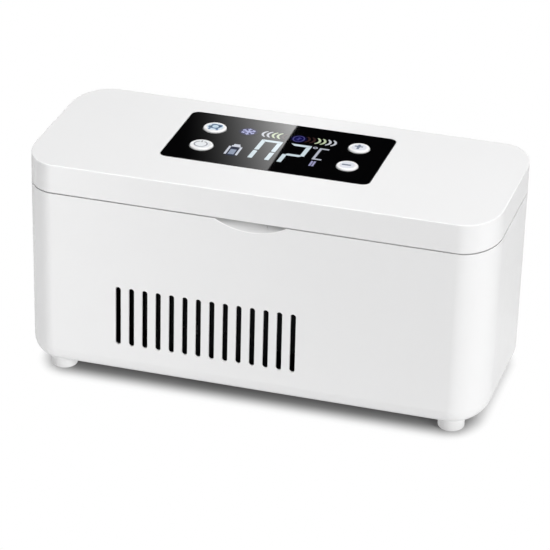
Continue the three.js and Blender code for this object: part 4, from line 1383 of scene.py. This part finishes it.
# the strokes of the printed marks, from the middle of their button
bladeForm = {
    "ring": (0.1 * mm, 0.4 * mm, 2 * mm, 1 * mm),
    "core": (0.1 * mm, 0.4 * mm, 0.7 * mm, 1.4 * mm),
    "blades": [
        (2.3 * mm, 1.6 * mm, 2.6 * mm, 1.5 * mm, 100),
        (-1 * mm, 2.5 * mm, 2.4 * mm, 0.9 * mm, 15),
        (-2.3 * mm, -0.4 * mm, 2.2 * mm, 1.5 * mm, 100),
        (-1.9 * mm, -2.4 * mm, 2.4 * mm, 1 * mm, 75),
        (1.6 * mm, -2.3 * mm, 2.5 * mm, 1.2 * mm, 108),
    ],
}
powerForm = {
    "ring": (-0.4 * mm, 0, 2.95 * mm, 0.6 * mm, 110, 430),
    "bar": (-0.6 * mm, 2.9 * mm, 1.9 * mm, 0.7 * mm, 95),
}
signBars = {
    "plus": [
        (-0.3 * mm, 0.4 * mm, 5 * mm, 1.2 * mm, 90),
        (-1.6 * mm, 0.8 * mm, 1.35 * mm, 1.2 * mm),
        (1 * mm, 0.8 * mm, 1.35 * mm, 1.2 * mm),
    ],
    "minus": [(-0.35 * mm, 0, 4.2 * mm, 1.4 * mm)],
}
modeOutlines = [ringOutline(*bladeForm["ring"])] + [barOutline(*blade) for blade in bladeForm["blades"]]
printedMark("modeBlades", "button_mode", modeOutlines, "blue")
printedMark("modeCore", "button_mode", [ringOutline(*bladeForm["core"])], "paleBlue")
powerOutlines = [arcOutline(*powerForm["ring"]), barOutline(*powerForm["bar"])]
printedMark("powerRing", "button_power", powerOutlines, "grey")
for sign, bars in signBars.items():
    printedMark(f"{sign}Mark", f"button_{sign}", [barOutline(*bar) for bar in bars], "slate")
print("printed marks made")


# Finishes of the nodes that keep their own mesh
nodeFinishes = {
    "zinc": ("foot_screw", "fan_screw", "board_screw", "display_screw", "clamp_screw"),
    "steel": ("catch_plate", "hinge_pin", "magnet", "temperature_sensor"),
    "foam": ("insulation_foam", "lid_foam"),
    "sink": ("cold_block",),
    "fins": ("heat_sink",),
    "ceramic": ("peltier_module",),
    "black": ("fan_frame", "fan_rotor", "battery_tray", "dc_jack", "digit_display", "switch"),
    "wrap": ("battery_cell",),
    "board": ("main_board", "display_board"),
}
for finish, starts in nodeFinishes.items():
    for name in [name for start in starts for name in nodesNamed(start)]:
        materials = frame["nodes"][name].data.materials
        materials.clear()
        materials.append(finishes[finish])
print("node finishes set")


# Floor, world and lamps
studio = {
    "floorReach": 4.0,
    "floorTone": 0.4,
    "floorCameraTone": 0.6,
    "floorGlow": 0.224,  # light that the floor throws back beyond its tone
    "nearGlow": 0.16,  # the same, only close to the case
    "nearReach": (0.05, 0.12),
    "shadowMiddle": (0.0005, 0.004),
    "shadowCorner": (0.0895, 0.026),  # from here on, counted from its middle, the outline of the shadow is rounded
    "shadowSqueeze": 0.74,
    "shadowFade": (0.0125, 0.027),
    "shadowCore": (0.028, 0.047),  # where the painted shadow's darkest part fades to the front and the rear
    "coreSides": (0.092, 0.104),
    "coreTone": 0.25,
    "skyBand": [(0.0, 1.0), (0.2, 1.0), (0.26, 0.0), (0.62, 0.0), (0.8, 1.0), (1.0, 1.0)],  # brightness by height
}


def fadeBeyond(tree, source, start, end):
    # nothing up to the start, all from the end on
    return span(tree, mathNode(tree, "ABSOLUTE", source), start, end, bend="SMOOTHSTEP")


def overshoot(tree, source, middle, start):
    # how far a coordinate lies beyond a distance from the middle, to either side
    offset = mathNode(tree, "ABSOLUTE", mathNode(tree, "SUBTRACT", source, middle))
    return mathNode(tree, "MAXIMUM", mathNode(tree, "SUBTRACT", offset, start))


def bareTree(holder):
    holder.use_nodes = True
    holder.node_tree.nodes.clear()
    return holder.node_tree


def stagePlane(name, size, finishName):
    deselectAll()
    bpy.ops.mesh.primitive_plane_add(size=size, location=(0, 0, 0))
    plane = bpy.context.object
    plane.name = name
    plane.data.materials.append(bpy.data.materials.new(finishName))
    return plane, bareTree(plane.data.materials[0])


def makeFloor():
    # a dull sheet to the light, but plain white to the camera away from the shadow under the case; close under the
    # case its colour to the camera is darkened, a painted shadow over the real one
    tree = stagePlane("floor", 2 * studio["floorReach"], "floorWhite")[1]
    place = addNode(tree, "SeparateXYZ", {0: objectPlace(tree)})
    x, y = place.outputs["X"], place.outputs["Y"]
    (middleX, middleY), (cornerX, cornerY) = studio["shadowMiddle"], studio["shadowCorner"]
    beside = mathNode(tree, "DIVIDE", overshoot(tree, x, middleX, cornerX), studio["shadowSqueeze"])
    before = overshoot(tree, y, middleY, cornerY)
    squares = mathNode(tree, "ADD", mathNode(tree, "POWER", beside, 2.0), mathNode(tree, "POWER", before, 2.0))
    clear = fadeBeyond(tree, mathNode(tree, "SQRT", squares), *studio["shadowFade"])
    around = mathNode(
        tree,
        "MAXIMUM",
        fadeBeyond(tree, y, *studio["shadowCore"]),
        fadeBeyond(tree, x, *studio["coreSides"]),
    )
    # painted shadow: the floor's colour to the camera drops to a quarter under the case
    level = mathNode(tree, "ADD", mathNode(tree, "MULTIPLY", around, 1 - studio["coreTone"]), studio["coreTone"])
    seen = mathNode(tree, "MULTIPLY", level, studio["floorCameraTone"])
    shown = addNode(tree, "LightPath").outputs["Is Camera Ray"]
    tone = mathNode(tree, "MULTIPLY", shown, mathNode(tree, "SUBTRACT", seen, studio["floorTone"]))
    sheet = addNode(tree, "BsdfDiffuse", {"Color": mathNode(tree, "ADD", tone, studio["floorTone"])})
    near = mathNode(tree, "SUBTRACT", 1.0, fadeBeyond(tree, y, *studio["nearReach"]))
    thrown = mathNode(tree, "ADD", mathNode(tree, "MULTIPLY", near, studio["nearGlow"]), studio["floorGlow"])
    unseen = mathNode(tree, "SUBTRACT", 1.0, shown)
    bounce = addNode(tree, "Emission", {"Strength": mathNode(tree, "MULTIPLY", unseen, thrown)})
    both = addNode(tree, "AddShader", {0: sheet.outputs[0], 1: bounce.outputs[0]})
    white = addNode(tree, "Emission")
    share = mathNode(tree, "MULTIPLY", shown, clear)
    mix = addNode(tree, "MixShader", {0: share, 1: both.outputs[0], 2: white.outputs[0]})
    addNode(tree, "OutputMaterial", {"Surface": mix.outputs[0]})


def makeWorld():
    # white to the camera; to polished faces a studio with a dark band between horizon and ceiling
    world = bpy.data.worlds.new("studioWorld")
    bpy.context.scene.world = world
    tree = bareTree(world)
    rays = addNode(tree, "LightPath").outputs
    height = addNode(tree, "SeparateXYZ", {0: addNode(tree, "TexCoord").outputs["Generated"]}).outputs["Z"]
    shown = mathNode(tree, "MAXIMUM", rays["Is Camera Ray"], rays["Is Transmission Ray"])
    mirrored = mathNode(tree, "MULTIPLY", rays["Is Glossy Ray"], greyRamp(tree, height, studio["skyBand"]))
    glow = addNode(tree, "Background", {"Strength": mathNode(tree, "MAXIMUM", shown, mirrored)})
    addNode(tree, "OutputWorld", {"Surface": glow.outputs[0]})


caseMiddle = (0, 0, 0.05)
# each: azimuth from the front towards the right, elevation, distance, size, power, aim
lamps = {
    "topLamp": (0, 90, 1.45, 1.2, 21.5, caseMiddle),
    "sideLamp": (58, 14, 1.4, 0.5, 12.2, caseMiddle),
    "leftLamp": (-110, 34, 1.4, 0.4, 2.2, caseMiddle),
    "rearLamp": (180, 34, 1.4, 0.4, 0.35, caseMiddle),
    "nearCard": (-25, 6, 0.29, 0.12, 0.267, (-0.08, -0.04, 0.05)),
}


def makeLamp(name, azimuth, elevation, distance, size, power, aim):
    azimuth, elevation = math.radians(azimuth), math.radians(elevation)
    flat = math.cos(elevation)
    away = Vector((math.sin(azimuth) * flat, -math.cos(azimuth) * flat, math.sin(elevation)))
    data = bpy.data.lights.new(name, "AREA")
    data.size, data.energy = size, power
    lamp = bpy.data.objects.new(name, data)
    bpy.context.scene.collection.objects.link(lamp)
    lamp.location = Vector(aim) + away * distance
    lamp.rotation_euler = (-away).to_track_quat("-Z", "Y").to_euler()
    lamp.visible_camera = False


sheen = {
    "y": 1.262,
    "left": -0.56,
    "low": 0.55,
    "high": 0.85,
    "edgeLow": (-0.3425, 0.667),
    "edgeHigh": (-0.3695, 0.716),
    "darkX": -0.459,
    "strength": 3.07,
    "power": 2.6,
    "fall": 6.0,
    "evenZ": 0.694,
}


def makeSheenCard():
    # a card behind the case that only polished faces show, brightest at its slanted right edge
    card, tree = stagePlane("sheenCard", 1, "sheenGlow")
    (lowX, lowZ), (highX, highZ) = sheen["edgeLow"], sheen["edgeHigh"]
    rightAt = lambda z: lowX + (highX - lowX) / (highZ - lowZ) * (z - lowZ)
    for index, z in ((0, sheen["low"]), (2, sheen["high"])):
        card.data.vertices[index].co = (sheen["left"], sheen["y"], z)
        card.data.vertices[index + 1].co = (rightAt(z), sheen["y"], z)
    place = addNode(tree, "SeparateXYZ", {0: objectPlace(tree)})
    rise = mathNode(tree, "POWER", span(tree, place.outputs["X"], sheen["darkX"], lowX), sheen["power"])
    above = mathNode(tree, "SUBTRACT", place.outputs["Z"], sheen["evenZ"])
    fall = mathNode(tree, "ADD", mathNode(tree, "MULTIPLY", above, -sheen["fall"]), 1.0)
    strength = mathNode(tree, "MULTIPLY", rise, mathNode(tree, "MULTIPLY", fall, sheen["strength"]))
    glow = addNode(tree, "Emission", {"Strength": strength})
    addNode(tree, "OutputMaterial", {"Surface": glow.outputs[0]})
    card.visible_camera = card.visible_diffuse = card.visible_transmission = card.visible_shadow = False


makeFloor()
makeWorld()
for name, facts in lamps.items():
    makeLamp(name, *facts)
makeSheenCard()
bpy.context.scene.view_settings.view_transform = "Standard"
print("studio ready")
